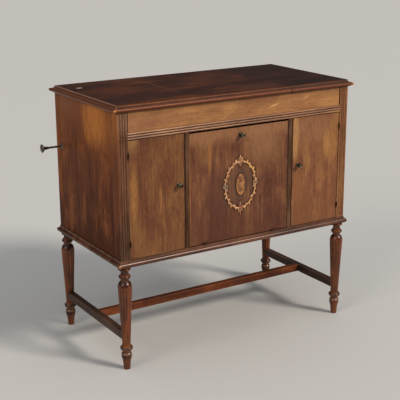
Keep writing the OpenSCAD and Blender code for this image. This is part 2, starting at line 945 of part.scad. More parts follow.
module horn() {
    outer = [for (j = [0:horn_rings]) each horn_ring(j / horn_rings, horn_wall)];
    inner = [for (j = [0:horn_rings]) each horn_ring(j / horn_rings, 0)];
    n = horn_sides;
    base = (horn_rings + 1) * n;
    walls = [
        for (j = [0:horn_rings - 1], i = [0:n - 1]) let(
            a = j * n + i,
            b = j * n + (i + 1) % n
        ) each [[a, b, b + n], [a, b + n, a + n],
            [base + a, base + b + n, base + b], [base + a, base + a + n, base + b + n]]
    ];
    ends = [
        for (j = [0, horn_rings], i = [0:n - 1]) let(
            a = j * n + i,
            b = j * n + (i + 1) % n
        ) each (j == 0
            ? [[a, base + b, b], [a, base + a, base + b]]
            : [[a, b, base + b], [a, base + b, base + a]])
    ];
    color(dark_wood)
        polyhedron(points = concat(outer, inner), faces = concat(walls, ends), convexity = 6);
}

fret_margin = 22;
fret_bar = 7;
fret_pitch = 42;

// Fretted board in front of the horn: a lattice inside a plain border.
module grille_fret() {
    open_w = centre_bay_w - 2 * fret_margin;
    open_h = horn_mouth_h - 20;
    low = horn_mouth_z - open_h / 2;
    reach = (open_w + open_h) / 2;
    color(wood)
        translate([0, frame_y + grille_t, 0])
            rotate([90, 0, 0])
                linear_extrude(grille_t)
                    difference() {
                        translate([-bay_x, base_top])
                            square([centre_bay_w, deck_low - base_top]);
                        difference() {
                            translate([-open_w / 2, low])
                                square([open_w, open_h]);
                            for (turn = [-45, 45], i = [-5:5])
                                translate([i * fret_pitch, low + open_h / 2])
                                    rotate(turn)
                                        square([fret_bar, 2 * reach], center = true);
                        }
                    }
}

module grille_cloth() {
    color("#5d3a2a")
        box([-bay_x, frame_y + grille_t, base_top],
            [bay_x, frame_y + grille_t + cloth_t, deck_low]);
}

// ---- Motor and winder ------------------------------------------------------

gear_centre = gear_module * (pinion_teeth + barrel_teeth) / 2;
gear_t = 8;
gear_x = -bay_x + 5;
bracket_t = 6;
bracket_x = gear_x + gear_t + 3;
barrel_y = winder_back - gear_centre;
barrel_r = 34;
barrel_l = 50;
barrel_gap = 4;
bracket_2_x = bracket_x + bracket_t + 2 * barrel_l + barrel_gap + 4;
arbor_r = 5;
plate_t = 4;
plate_front = 50; // the plate starts this far in front of the turntable's spindle
plate_back = 12; // and ends this far behind the winding shaft
gearbox_w = 90;
gearbox_d = 70;
gearbox_bulge = 11; // the casing's middle stands out this far in front and behind
gearbox_corner = 12;
gearbox_down = 24; // the casing's underside lies this far below the winding shaft
bearer_half = 16; // half the depth of a barrel bracket in front of the arbor

// Cast motor frame under the deck: plate, gear casing and the barrels' two brackets.
module motor_case() {
    low = winder_z - gearbox_down;
    tall = deck_low - low - plate_t + eps;
    color([0.25, 0.27, 0.27])
        difference() {
            union() {
                box([bracket_x, platter_back - plate_front, deck_low - plate_t],
                    [bracket_2_x + bracket_t, winder_back + plate_back, deck_low]);
                translate([-platter_left, platter_back, low]) {
                    translate([-gearbox_w / 2, -gearbox_d / 2, 0])
                        cube([gearbox_w, gearbox_d, tall]);
                    translate([-gearbox_w / 2 + gearbox_corner, -gearbox_d / 2 - gearbox_bulge, 0])
                        cube([gearbox_w - 2 * gearbox_corner, gearbox_d + 2 * gearbox_bulge, tall]);
                }
                for (x = [bracket_x, bracket_2_x])
                    box([x, barrel_y - bearer_half, winder_z - bearer_half + 2],
                        [x + bracket_t, winder_back + bearer_half - 6, deck_low - plate_t + eps]);
            }
            translate([-platter_left, platter_back, deck_low - bearing_deep - 1])
                cylinder(r = pin_low_r + run_gap, h = bearing_deep + 2);
            translate([bracket_x - 1, barrel_y, winder_z])
                rotate([0, 90, 0])
                    cylinder(r = arbor_r + run_gap, h = bracket_t + 2);
            translate([bracket_x - 1, winder_back, winder_z])
                rotate([0, 90, 0])
                    cylinder(r = winder_r + run_gap, h = bracket_t + 2);
        }
}

// Two spring barrels in line between the brackets.
module spring_barrels() {
    color(steel)
        translate([bracket_x + bracket_t, barrel_y, winder_z])
            rotate([0, 90, 0])
                difference() {
                    union() {
                        cylinder(r = 9, h = bracket_2_x - bracket_x - bracket_t);
                        for (i = [0, 1])
                            translate([0, 0, 2 + i * (barrel_l + barrel_gap)]) {
                                cylinder(r = barrel_r, h = barrel_l);
                                for (z = [0, barrel_l - 4])
                                    translate([0, 0, z])
                                        cylinder(r = barrel_r + 2, h = 4);
                            }
                    }
                    translate([0, 0, -1])
                        cylinder(r = arbor_r + run_gap, h = 11);
                }
}

// Involute gear outline with stub teeth.
pressure_angle = 20;
addendum = 0.8;
dedendum = 1.05;
gear_backlash = 0.16;

function involute(rb, r) = let(
    t = sqrt(max(0, (r / rb) * (r / rb) - 1)) * 180 / PI,
    a = t - atan2(sqrt(max(0, (r / rb) * (r / rb) - 1)), 1)
) a;

module gear_outline(teeth) {
    pitch_r = gear_module * teeth / 2;
    base_r = pitch_r * cos(pressure_angle);
    out_r = pitch_r + addendum * gear_module;
    root_r = pitch_r - dedendum * gear_module;
    low_r = max(base_r, root_r);
    half_angle = 90 / teeth - gear_backlash / pitch_r * 90 / PI;
    pitch_inv = involute(base_r, pitch_r);
    steps = 5;
    flank = [
        for (i = [0:steps]) let(
            r = low_r + (out_r - low_r) * i / steps,
            a = half_angle + pitch_inv - involute(base_r, r)
        ) [r, a]
    ];
    points = [
        for (k = [0:teeth - 1]) let(c = k * 360 / teeth) each concat(
            [[root_r * cos(c - flank[0][1]), root_r * sin(c - flank[0][1])]],
            [for (i = [0:steps]) [flank[i][0] * cos(c - flank[i][1]), flank[i][0] * sin(c - flank[i][1])]],
            [for (i = [steps:-1:0]) [flank[i][0] * cos(c + flank[i][1]), flank[i][0] * sin(c + flank[i][1])]],
            [[root_r * cos(c + flank[0][1]), root_r * sin(c + flank[0][1])]]
        )
    ];
    polygon(points);
}

module winding_shaft() {
    start_x = -case_w / 2 - winder_out + 9;
    end_x = bracket_x + bracket_t + 1;
    color(steel) {
        translate([start_x, winder_back, winder_z])
            rotate([0, 90, 0])
                cylinder(r = winder_r, h = end_x - start_x);
        translate([gear_x, winder_back, winder_z])
            rotate([90, 0, 90])
                rotate([0, 0, 180])
                    linear_extrude(gear_t)
                        gear_outline(pinion_teeth);
    }
}

// Bell-shaped end of the winding shaft.
module winding_knob() {
    color(nickel)
        translate([-case_w / 2 - winder_out, winder_back, winder_z])
            rotate([0, 90, 0])
                difference() {
                    rotate_extrude()
                        polygon([[0, 0], [8, 0.6], [13, 2.2], [14.5, 4], [13.6, 5.6], [9.5, 8.6],
                            [6.4, 12], [5.2, 16], [4.7, 26], [0, 26]]);
                    translate([0, 0, 9])
                        cylinder(r = winder_r, h = 18);
                }
}

module winder_escutcheon() {
    color(nickel)
        translate([-panel_out_x, winder_back, winder_z])
            rotate([0, -90, 0])
                difference() {
                    union() {
                        cylinder(r = 9.5, h = 1.4);
                        translate([0, 0, 1.4 - eps])
                            cylinder(r1 = 9, r2 = 6.5, h = 1.8);
                    }
                    translate([0, 0, -1])
                        cylinder(r = winder_r + run_gap, h = 6);
                }
}

module barrel_gear() {
    color(brass)
        translate([gear_x, barrel_y, winder_z]) {
            rotate([90, 0, 90])
                rotate([0, 0, 180 / barrel_teeth])
                    linear_extrude(gear_t)
                        gear_outline(barrel_teeth);
            translate([-3, 0, 0])
                rotate([0, 90, 0])
                    cylinder(r = arbor_r, h = bracket_x - gear_x + bracket_t + 3 + 8);
        }
}

// ---- Hinges ----------------------------------------------------------------

// Butt hinge drawn in its own frame: the pin is the X axis, +Y runs into the wood and
// +Z points to the half that is drawn. gap is the distance from the pin to that half's wood.
leaf_t = 1;
leaf_l = 38;
leaf_w = 15;
knuckle_r = 2.2;
knuckle_l = 18;
hinge_pin_r = 1;
face_off = knuckle_r + 0.2;
third = knuckle_l / 6;
end_spans = [[-3 * third, -third], [third, 3 * third]];
mid_span = [[-third + 0.2, third - 0.2]];

module hinge_leaf(gap, spans) {
    translate([-leaf_l / 2, face_off, gap])
        cube([leaf_l, leaf_w, leaf_t]);
    for (s = spans) {
        translate([s[0], -leaf_t / 2, gap])
            cube([s[1] - s[0], face_off + leaf_t / 2 + eps, leaf_t]);
        translate([s[0], -leaf_t / 2, 0])
            cube([s[1] - s[0], leaf_t, gap + leaf_t]);
        translate([s[0], 0, 0])
            rotate([0, 90, 0])
                cylinder(r = knuckle_r, h = s[1] - s[0], $fn = 32);
    }
}

// Fixed half with the pin, drawn with its wood on the -Z side.
module hinge_fixed(gap) {
    mirror([0, 0, 1])
        hinge_leaf(gap, end_spans);
    translate([-knuckle_l / 2, 0, 0])
        rotate([0, 90, 0])
            cylinder(r = hinge_pin_r, h = knuckle_l, $fn = 32);
}

module hinge_moving(gap) {
    difference() {
        hinge_leaf(gap, mid_span);
        translate([-knuckle_l / 2, 0, 0])
            rotate([0, 90, 0])
                cylinder(r = hinge_pin_r + run_gap, h = knuckle_l, $fn = 32);
    }
}

module hinge_pocket(gap) {
    translate([-leaf_l / 2, face_off, gap])
        cube([leaf_l, leaf_w, leaf_t]);
    translate([-knuckle_l / 2, -knuckle_r, gap])
        cube([knuckle_l, face_off + knuckle_r + eps, leaf_t]);
}

hinge_y = door_face_y - face_off;
door_low = base_top + door_gap;
door_top = opening_top - door_gap;
door_hinge_x = post_in_x - door_gap / 2;
door_hinge_z = [door_low + hinge_in, door_top - hinge_in];
flap_low = base_top + flap_low_gap;
flap_top = opening_top - flap_top_gap;
flap_hinge_in = 60; // distance of the flap's hinges from the bay's sides
flap_hinge_x = bay_x - flap_hinge_in;
lid_hinge_drop = knuckle_r + 0.2;
lid_hinge_y = back_y + face_off;
lid_hinge_z = lid_under - lid_hinge_drop;
lid_hinge_left = 120; // distance of the lid's left hinge from the case's end
lid_hinge_right = 110; // distance of its right hinge from the joint in the top
lid_hinge_x = [-case_w / 2 + lid_hinge_left, seam_x - lid_hinge_right];

module left_door_hinges() {
    for (z = door_hinge_z)
        translate([-door_hinge_x, hinge_y, z])
            rotate([0, 90, 0])
                children();
}

module right_door_hinges() {
    for (z = door_hinge_z)
        translate([door_hinge_x, hinge_y, z])
            rotate([0, -90, 0])
                children();
}

module flap_hinges() {
    for (x = [-flap_hinge_x, flap_hinge_x])
        translate([x, hinge_y, flap_low])
            children();
}

module lid_hinges() {
    for (x = lid_hinge_x)
        translate([x, lid_hinge_y, lid_hinge_z])
            rotate([0, 0, 180])
                children();
}

module hinge_fixed_leaves() {
    back_leaf_h = 30;
    color(brass) {
        left_door_hinges()
            hinge_fixed(door_gap / 2);
        right_door_hinges()
            hinge_fixed(door_gap / 2);
        flap_hinges()
            hinge_fixed(flap_low_gap);
        // the lid's fixed leaves are screwed to the outside of the back board
        lid_hinges() {
            translate([-leaf_l / 2, face_off - leaf_t, -back_leaf_h])
                cube([leaf_l, leaf_t, back_leaf_h - knuckle_r]);
            for (s = end_spans) {
                translate([s[0], face_off - leaf_t, -back_leaf_h])
                    cube([s[1] - s[0], leaf_t, back_leaf_h]);
                translate([s[0], 0, -leaf_t])
                    cube([s[1] - s[0], face_off, leaf_t]);
                translate([s[0], 0, 0])
                    rotate([0, 90, 0])
                        cylinder(r = knuckle_r, h = s[1] - s[0], $fn = 32);
            }
            translate([-knuckle_l / 2, 0, 0])
                rotate([0, 90, 0])
                    cylinder(r = hinge_pin_r, h = knuckle_l, $fn = 32);
        }
    }
}

module left_door_hinge_leaves() {
    color(brass)
        left_door_hinges()
            hinge_moving(door_gap / 2);
}

module right_door_hinge_leaves() {
    color(brass)
        right_door_hinges()
            hinge_moving(door_gap / 2);
}

module flap_hinge_leaves() {
    color(brass)
        flap_hinges()
            hinge_moving(0);
}

module lid_hinge_leaves() {
    color(brass)
        lid_hinges()
            hinge_moving(lid_hinge_drop);
}

// ---- Lid stay --------------------------------------------------------------

stay_pivot_y = 150;
stay_down = 26; // depth of the stay's pivot below the case's upper edge
stay_z = case_top - stay_down;
stay_w = 12;
stay_t = 3;
stay_x = -panel_in_x + 4;
stay_pin_r = 2.5;
stay_pin_l = 9;
stud_y = -18;
stud_r = 2.5;
slot_w = 2 * (stud_r + seat_gap);
lid_open = 95; // angle at which the stay stops the lid

// Distance from the stay's pivot to the stud when the lid stands open by an angle
function stud_reach(angle) = let(
    y = stud_y - lid_hinge_y,
    z = stay_z - lid_hinge_z,
    open_y = lid_hinge_y + y * cos(angle) + z * sin(angle),
    open_z = lid_hinge_z - y * sin(angle) + z * cos(angle)
) norm([open_y - stay_pivot_y, open_z - stay_z]);

slot_near = stud_reach(0) - slot_w / 2 - 6;
slot_far = stud_reach(lid_open) + slot_w / 2;
stay_l = slot_far + 6.5;

// Slotted stay that swings up with the lid.
module lid_stay() {
    color(brass)
        translate([stay_x, stay_pivot_y, stay_z]) {
            difference() {
                union() {
                    translate([0, -stay_l + stay_w / 2, -stay_w / 2])
                        cube([stay_t, stay_l - stay_w / 2, stay_w]);
                    for (y = [0, -stay_l + stay_w / 2])
                        translate([0, y, 0])
                            rotate([0, 90, 0])
                                cylinder(r = stay_w / 2, h = stay_t);
                }
                translate([-1, -slot_far, -slot_w / 2])
                    cube([stay_t + 2, slot_far - slot_near, slot_w]);
            }
            translate([-4 + seat_gap, 0, 0])
                rotate([0, 90, 0])
                    cylinder(r = stay_w / 2, h = 4 - seat_gap + eps);
            translate([-4 - stay_pin_l + 1, 0, 0])
                rotate([0, 90, 0])
                    cylinder(r = stay_pin_r, h = stay_pin_l + 2);
        }
}

// Bracket under the lid whose stud meets the stay.
module lid_stay_stud() {
    lug_x = stay_x + stay_t + 5;
    color(brass) {
        box([lug_x, stud_y - 18, lid_under - 2], [lug_x + 14, stud_y + 18, lid_under]);
        box([lug_x, stud_y - 7, stay_z - 7], [lug_x + 3, stud_y + 7, lid_under - 1]);
        translate([stay_x + stay_t + seat_gap, stud_y, stay_z])
            rotate([0, 90, 0])
                cylinder(r = stud_r, h = lug_x - stay_x - stay_t - seat_gap + 1);
    }
}

// ---- Doors -----------------------------------------------------------------

module side_door(side) {
    color(wood)
        difference() {
            side_box(side, [partition_out_x + door_gap, door_face_y, door_low],
                [post_in_x - door_gap, door_back_y, door_top]);
            if (side < 0)
                left_door_hinges()
                    hinge_pocket(door_gap / 2);
            if (side > 0)
                right_door_hinges()
                    hinge_pocket(door_gap / 2);
        }
}

module flap() {
    color(wood)
        difference() {
            box([-bay_x + door_gap, door_face_y, flap_low],
                [bay_x - door_gap, door_back_y, flap_top]);
            flap_hinges()
                hinge_pocket(0);
        }
}

door_knob_x = partition_out_x + door_gap + knob_in;
door_knob_z = (door_low + door_top) / 2 + knob_up;

// Turned knob, its screw face on the door.
module knob(x, z) {
    color([0.16, 0.14, 0.12])
        translate([x, door_face_y, z])
            rotate([90, 0, 0])
                rotate_extrude() {
                    polygon([[0, 0], [7.5, 0], [7.5, 1.6], [5, 3], [4.2, 6], [4.6, knob_l - 10],
                        [0, knob_l - 10]]);
                    intersection() {
                        translate([0, knob_l - 7.6])
                            bulb_2d();
                        translate([0, knob_l - 12])
                            square([knob_r + 1, 12]);
                    }
                }
}

// Rounded head of a knob: wide, flattened, its top at knob_l.
module bulb_2d() {
    polygon([for (a = [-90:10:90]) [knob_r * cos(a), 7.6 * sin(a) * (a > 0 ? 1 : 0.55)]]);
}

// ---- Wreath and patera on the flap ------------------------------------------

wreath_t = 4;
wreath_z = (flap_low + flap_top) / 2 - wreath_down;
leaf_long = 17.2;
leaf_wide = 9.5;

module ellipse(a, b, n) {
    polygon([for (i = [0:n - 1]) [a * cos(i * 360 / n), b * sin(i * 360 / n)]]);
}

// Pointed leaf along +X from the origin, with its sides on two arcs.
module leaf_2d(l, w) {
    r = (l * l / 4 + w * w / 4) / w;
    intersection() {
        translate([l / 2, r - w / 2])
            circle(r, $fn = 48);
        translate([l / 2, -r + w / 2])
            circle(r, $fn = 48);
    }
}

module wreath_leaves_2d(mid_a, mid_b) {
    for (i = [0:wreath_leaves - 1]) {
        a = (i + 0.5) * 360 / wreath_leaves;
        along = atan2(mid_b * cos(a), -mid_a * sin(a));
        turn = sin(a) >= 0 == cos(a) >= 0 ? along : along + 180;
        translate([mid_a * cos(a), mid_b * sin(a)])
            rotate(turn + (i % 2 == 0 ? 24 : -24))
                leaf_2d(leaf_long, leaf_wide);
    }
}

// Leaf spray above and below the wreath: a tall middle leaf, two beside it and two that turn back.
module spray_2d() {
    leaf_2d(27, 10);
    for (s = [-1, 1]) {
        rotate(s * 24)
            leaf_2d(25, 9);
        rotate(180 + s * 22)
            leaf_2d(18, 8);
    }
}

// Leaf wreath with rosettes and sprays round a stepped oval patera, both glued to the flap.
module flap_ornament() {
    mid_a = wreath_a - 8;
    mid_b = wreath_b - 8;
    band = 3.5;
    color([0.78, 0.58, 0.36])
        translate([0, door_face_y, wreath_z])
            rotate([90, 0, 0]) {
                linear_extrude(wreath_t) {
                    difference() {
                        ellipse(mid_a + band, mid_b + band, 64);
                        ellipse(mid_a - band, mid_b - band, 64);
                    }
                    wreath_leaves_2d(mid_a, mid_b);
                    for (s = [-1, 1])
                        translate([0, s * mid_b])
                            rotate(s * 90)
                                spray_2d();
                }
                for (s = [-1, 1]) {
                    translate([s * mid_a, 0, 0]) {
                        cylinder(r = 8.5, h = wreath_t + 1);
                        cylinder(r = 4, h = wreath_t + 2.6);
                    }
                    translate([0, s * mid_b, 0])
                        cylinder(r = 7, h = wreath_t + 1.4);
                }
                for (step = [[0, 0, 3], [3.5, 4.5, 4.6], [9, 13, 6]])
                    linear_extrude(step[2])
                        ellipse(patera_a - step[0], patera_b - step[1], 48);
            }
}

// ---- The pieces ------------------------------------------------------------

base_board();
leg(-1, -1);  // leg_front_left
leg(1, -1);  // leg_front_right
leg(-1, 1);  // leg_back_left
leg(1, 1);  // leg_back_right
side_stretcher(-1);  // side_stretcher_left
side_stretcher(1);  // side_stretcher_right
centre_stretcher();
front_post(-1);  // front_post_left
front_post(1);  // front_post_right
back_post(-1);  // back_post_left
back_post(1);  // back_post_right
side_panel(-1);  // side_panel_left
side_panel(1);  // side_panel_right
back_panel();
frieze_rail();
bead_rail();
well_front_board();
stile(-1);  // stile_left
stile(1);  // stile_right
partition(-1);  // partition_left
partition(1);  // partition_right
motor_board();
lid_partition();
fixed_top();
grille_fret();
grille_cloth();
horn();
horn_throat();
motor_case();
spring_barrels();
winder_escutcheon();
tonearm_base();
needle_cups();
hinge_fixed_leaves();
lid();
lid_hinge_leaves();
lid_stay_stud();
lid_stay();
side_door(-1);  // left_door
left_door_hinge_leaves();
knob(-door_knob_x, door_knob_z);  // left_door_knob
side_door(1);  // right_door
right_door_hinge_leaves();
knob(door_knob_x, door_knob_z);  // right_door_knob
flap();
flap_hinge_leaves();
knob(0, flap_top - flap_knob_down);  // flap_knob
flap_ornament();
winding_shaft();
winding_knob();
barrel_gear();
platter();
platter_felt();
record_pin();
tonearm();
sound_box();
needle();
brake_lever();
speed_lever();
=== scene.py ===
"""The looks of a console gramophone: a walnut case on fluted legs, dressed piece by piece."""

import math

import bmesh
import bpy
from mathutils import Matrix, Vector


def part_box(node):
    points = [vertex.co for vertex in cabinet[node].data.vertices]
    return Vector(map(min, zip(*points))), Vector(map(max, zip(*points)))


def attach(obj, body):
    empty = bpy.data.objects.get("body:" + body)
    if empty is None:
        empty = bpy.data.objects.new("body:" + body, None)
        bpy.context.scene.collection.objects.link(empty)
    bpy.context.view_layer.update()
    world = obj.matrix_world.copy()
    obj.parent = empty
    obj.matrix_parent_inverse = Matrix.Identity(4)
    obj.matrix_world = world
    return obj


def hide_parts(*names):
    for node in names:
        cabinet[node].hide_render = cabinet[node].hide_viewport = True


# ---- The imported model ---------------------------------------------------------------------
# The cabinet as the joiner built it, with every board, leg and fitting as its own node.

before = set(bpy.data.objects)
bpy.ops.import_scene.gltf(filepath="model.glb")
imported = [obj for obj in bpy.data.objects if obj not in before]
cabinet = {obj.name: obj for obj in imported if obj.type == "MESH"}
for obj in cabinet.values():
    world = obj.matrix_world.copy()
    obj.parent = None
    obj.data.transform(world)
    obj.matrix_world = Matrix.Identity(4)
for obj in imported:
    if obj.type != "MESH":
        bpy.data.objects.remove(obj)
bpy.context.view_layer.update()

# ---- Camera --------------------------------------------------------------------------------
# A portrait lens in front of the left corner, a little above the top, looking slightly down.
# Place and lens come from the cabinet's own edges in the photograph.

CAMERA_PLACE = Vector((-1.73502, -2.74777, 1.38983))
CAMERA_YAW = math.radians(32.05)
CAMERA_PITCH = math.radians(-16.2)
CAMERA_ROLL = math.radians(-0.27)
CAMERA_LENS_MM = 87.0
CAMERA_SENSOR_MM = 36.0

ahead = Vector(
    (
        math.sin(CAMERA_YAW) * math.cos(CAMERA_PITCH),
        math.cos(CAMERA_YAW) * math.cos(CAMERA_PITCH),
        math.sin(CAMERA_PITCH),
    )
)
level_right = ahead.cross(Vector((0, 0, 1))).normalized()
level_up = level_right.cross(ahead)
camera_right = level_right * math.cos(CAMERA_ROLL) + level_up * math.sin(CAMERA_ROLL)
camera_up = camera_right.cross(ahead)

camera = bpy.data.objects.new("camera", bpy.data.cameras.new("camera"))
camera.data.lens = CAMERA_LENS_MM
camera.data.sensor_width = CAMERA_SENSOR_MM
camera.matrix_world = Matrix.Translation(CAMERA_PLACE) @ Matrix(
    (camera_right, camera_up, -ahead)
).transposed().to_4x4()
bpy.context.scene.collection.objects.link(camera)
bpy.context.scene.camera = camera

# ---- Floor and lamps -----------------------------------------------------------------------
# A pale studio floor and soft daylight: the main window is on the right and in front,
# a weaker one stands at the left, a wide skylight is overhead, and the walls are dim.

FLOOR_HALF = 30.0
FLOOR_TONE = "#c0c1c1"
ROOM_TONE = "#dfe2e6"
ROOM_LIGHT = 0.07


def linear(code):
    """An sRGB hex colour as linear red, green, blue and a full alpha."""
    parts = [int(code[i : i + 2], 16) / 255 for i in (1, 3, 5)]
    return [c / 12.92 if c <= 0.04045 else ((c + 0.055) / 1.055) ** 2.4 for c in parts] + [1.0]


def add(tree, kind, inputs=None, out=0, **settings):
    """Adds a node with its settings, and values or links on its inputs; gives one output."""
    made = tree.nodes.new(kind)
    for name, value in settings.items():
        setattr(made, name, value)
    for name, value in (inputs or {}).items():
        if isinstance(value, bpy.types.NodeSocket):
            tree.links.new(value, made.inputs[name])
        else:
            made.inputs[name].default_value = value
    return made.outputs[out]


def blank(name):
    """A new material, its tree, and its empty output."""
    material = bpy.data.materials.new(name)
    material.use_nodes = True
    tree = material.node_tree
    tree.nodes.clear()
    return material, tree, tree.nodes.new("ShaderNodeOutputMaterial")


# Matt floor paint, rolled on: pale and even, so that the eye sees only the shadow on it.
floor_paint, tree, output = blank("matt_floor_paint")
floor_shader = add(
    tree, "ShaderNodeBsdfPrincipled", {"Base Color": linear(FLOOR_TONE), "Roughness": 0.75}
)
tree.links.new(floor_shader, output.inputs["Surface"])

bm = bmesh.new()
bmesh.ops.create_grid(bm, x_segments=1, y_segments=1, size=FLOOR_HALF)
floor_mesh = bpy.data.meshes.new("floor")
bm.to_mesh(floor_mesh)
bm.free()
floor_mesh.materials.append(floor_paint)
floor = bpy.data.objects.new("floor", floor_mesh)
bpy.context.scene.collection.objects.link(floor)

room = bpy.data.worlds.new("room")
room.use_nodes = True
room.node_tree.nodes["Background"].inputs["Color"].default_value = linear(ROOM_TONE)
room.node_tree.nodes["Background"].inputs["Strength"].default_value = ROOM_LIGHT
bpy.context.scene.world = room

LAMPS = {
    "window_right": {"from": (0.45, -0.72, 0.58), "power": 2.7, "width": 14, "tone": "#fff3e4"},
    "window_left": {"from": (-0.9, -0.3, 0.5), "power": 0.9, "width": 30, "tone": "#fff0de"},
    "skylight": {"from": (0.0, -0.1, 1.0), "power": 1.4, "width": 110, "tone": "#f2f4f6"},
}
for name, lamp in LAMPS.items():
    sun = bpy.data.lights.new(name, "SUN")
    sun.energy = lamp["power"]
    sun.angle = math.radians(lamp["width"])
    sun.color = linear(lamp["tone"])[:3]
    stand = bpy.data.objects.new(name, sun)
    stand.rotation_mode = "QUATERNION"
    stand.rotation_quaternion = Vector(lamp["from"]).to_track_quat("Z", "Y")
    bpy.context.scene.collection.objects.link(stand)

bpy.context.scene.view_settings.view_transform = "Standard"

# ---- Side panels, posts and back -----------------------------------------------------------
# The sides are boards veneered with upright walnut and glued between the corner posts. The
# front posts are solid and fluted, the back is a plain board, and all are stained and
# shellacked. A century of rubbing has softened their edges.

ARRIS = 0.0005
ARRIS_ANGLE = math.radians(40)
MERGE = 1e-6  # corners that are closer than this are one
ALL = 9.0  # a stain's reach along an axis in which it has no end
SUNK_FINISH = "#24130c"
# the tone of dirt and painted shade in corners
CORNER_DIRT_AND_SHADE = "#140a06"
GRAIN_TURN = {"X": (0, math.pi / 2, 0), "Y": (math.pi / 2, 0, 0), "Z": (0, 0, 0)}


def stained(tree, place, figured, colour, stains, ragged=2.0):
    """Lays lighter and darker places on a colour, their rims as ragged as the figure.

    A stain is (centre, reach along each axis, tone, share) and may have a slant about Y; some lay
    painted light or shade."""
    for centre, reach, tone, share, *slant in stains:
        spread = {"Location": centre, "Rotation": (0, sum(slant), 0), "Scale": reach}
        inside = add(
            tree, "ShaderNodeMapping", {"Vector": place, **spread}, vector_type="TEXTURE"
        )
        far = add(tree, "ShaderNodeVectorMath", {0: inside}, out="Value", operation="LENGTH")
        wander = add(
            tree, "ShaderNodeMath", {0: figured, 1: ragged, 2: far}, operation="MULTIPLY_ADD"
        )
        cover = add(
            tree,
            "ShaderNodeMapRange",
            {
                "Value": wander,
                "From Min": 1.05 + ragged / 2,
                "From Max": 0.3 + ragged / 2,
                "To Max": share,
            },
            interpolation_type="SMOOTHSTEP",
        )
        layer = {0: cover, 6: colour, 7: linear(tone)}
        colour = add(tree, "ShaderNodeMix", layer, out=2, data_type="RGBA")
    return colour


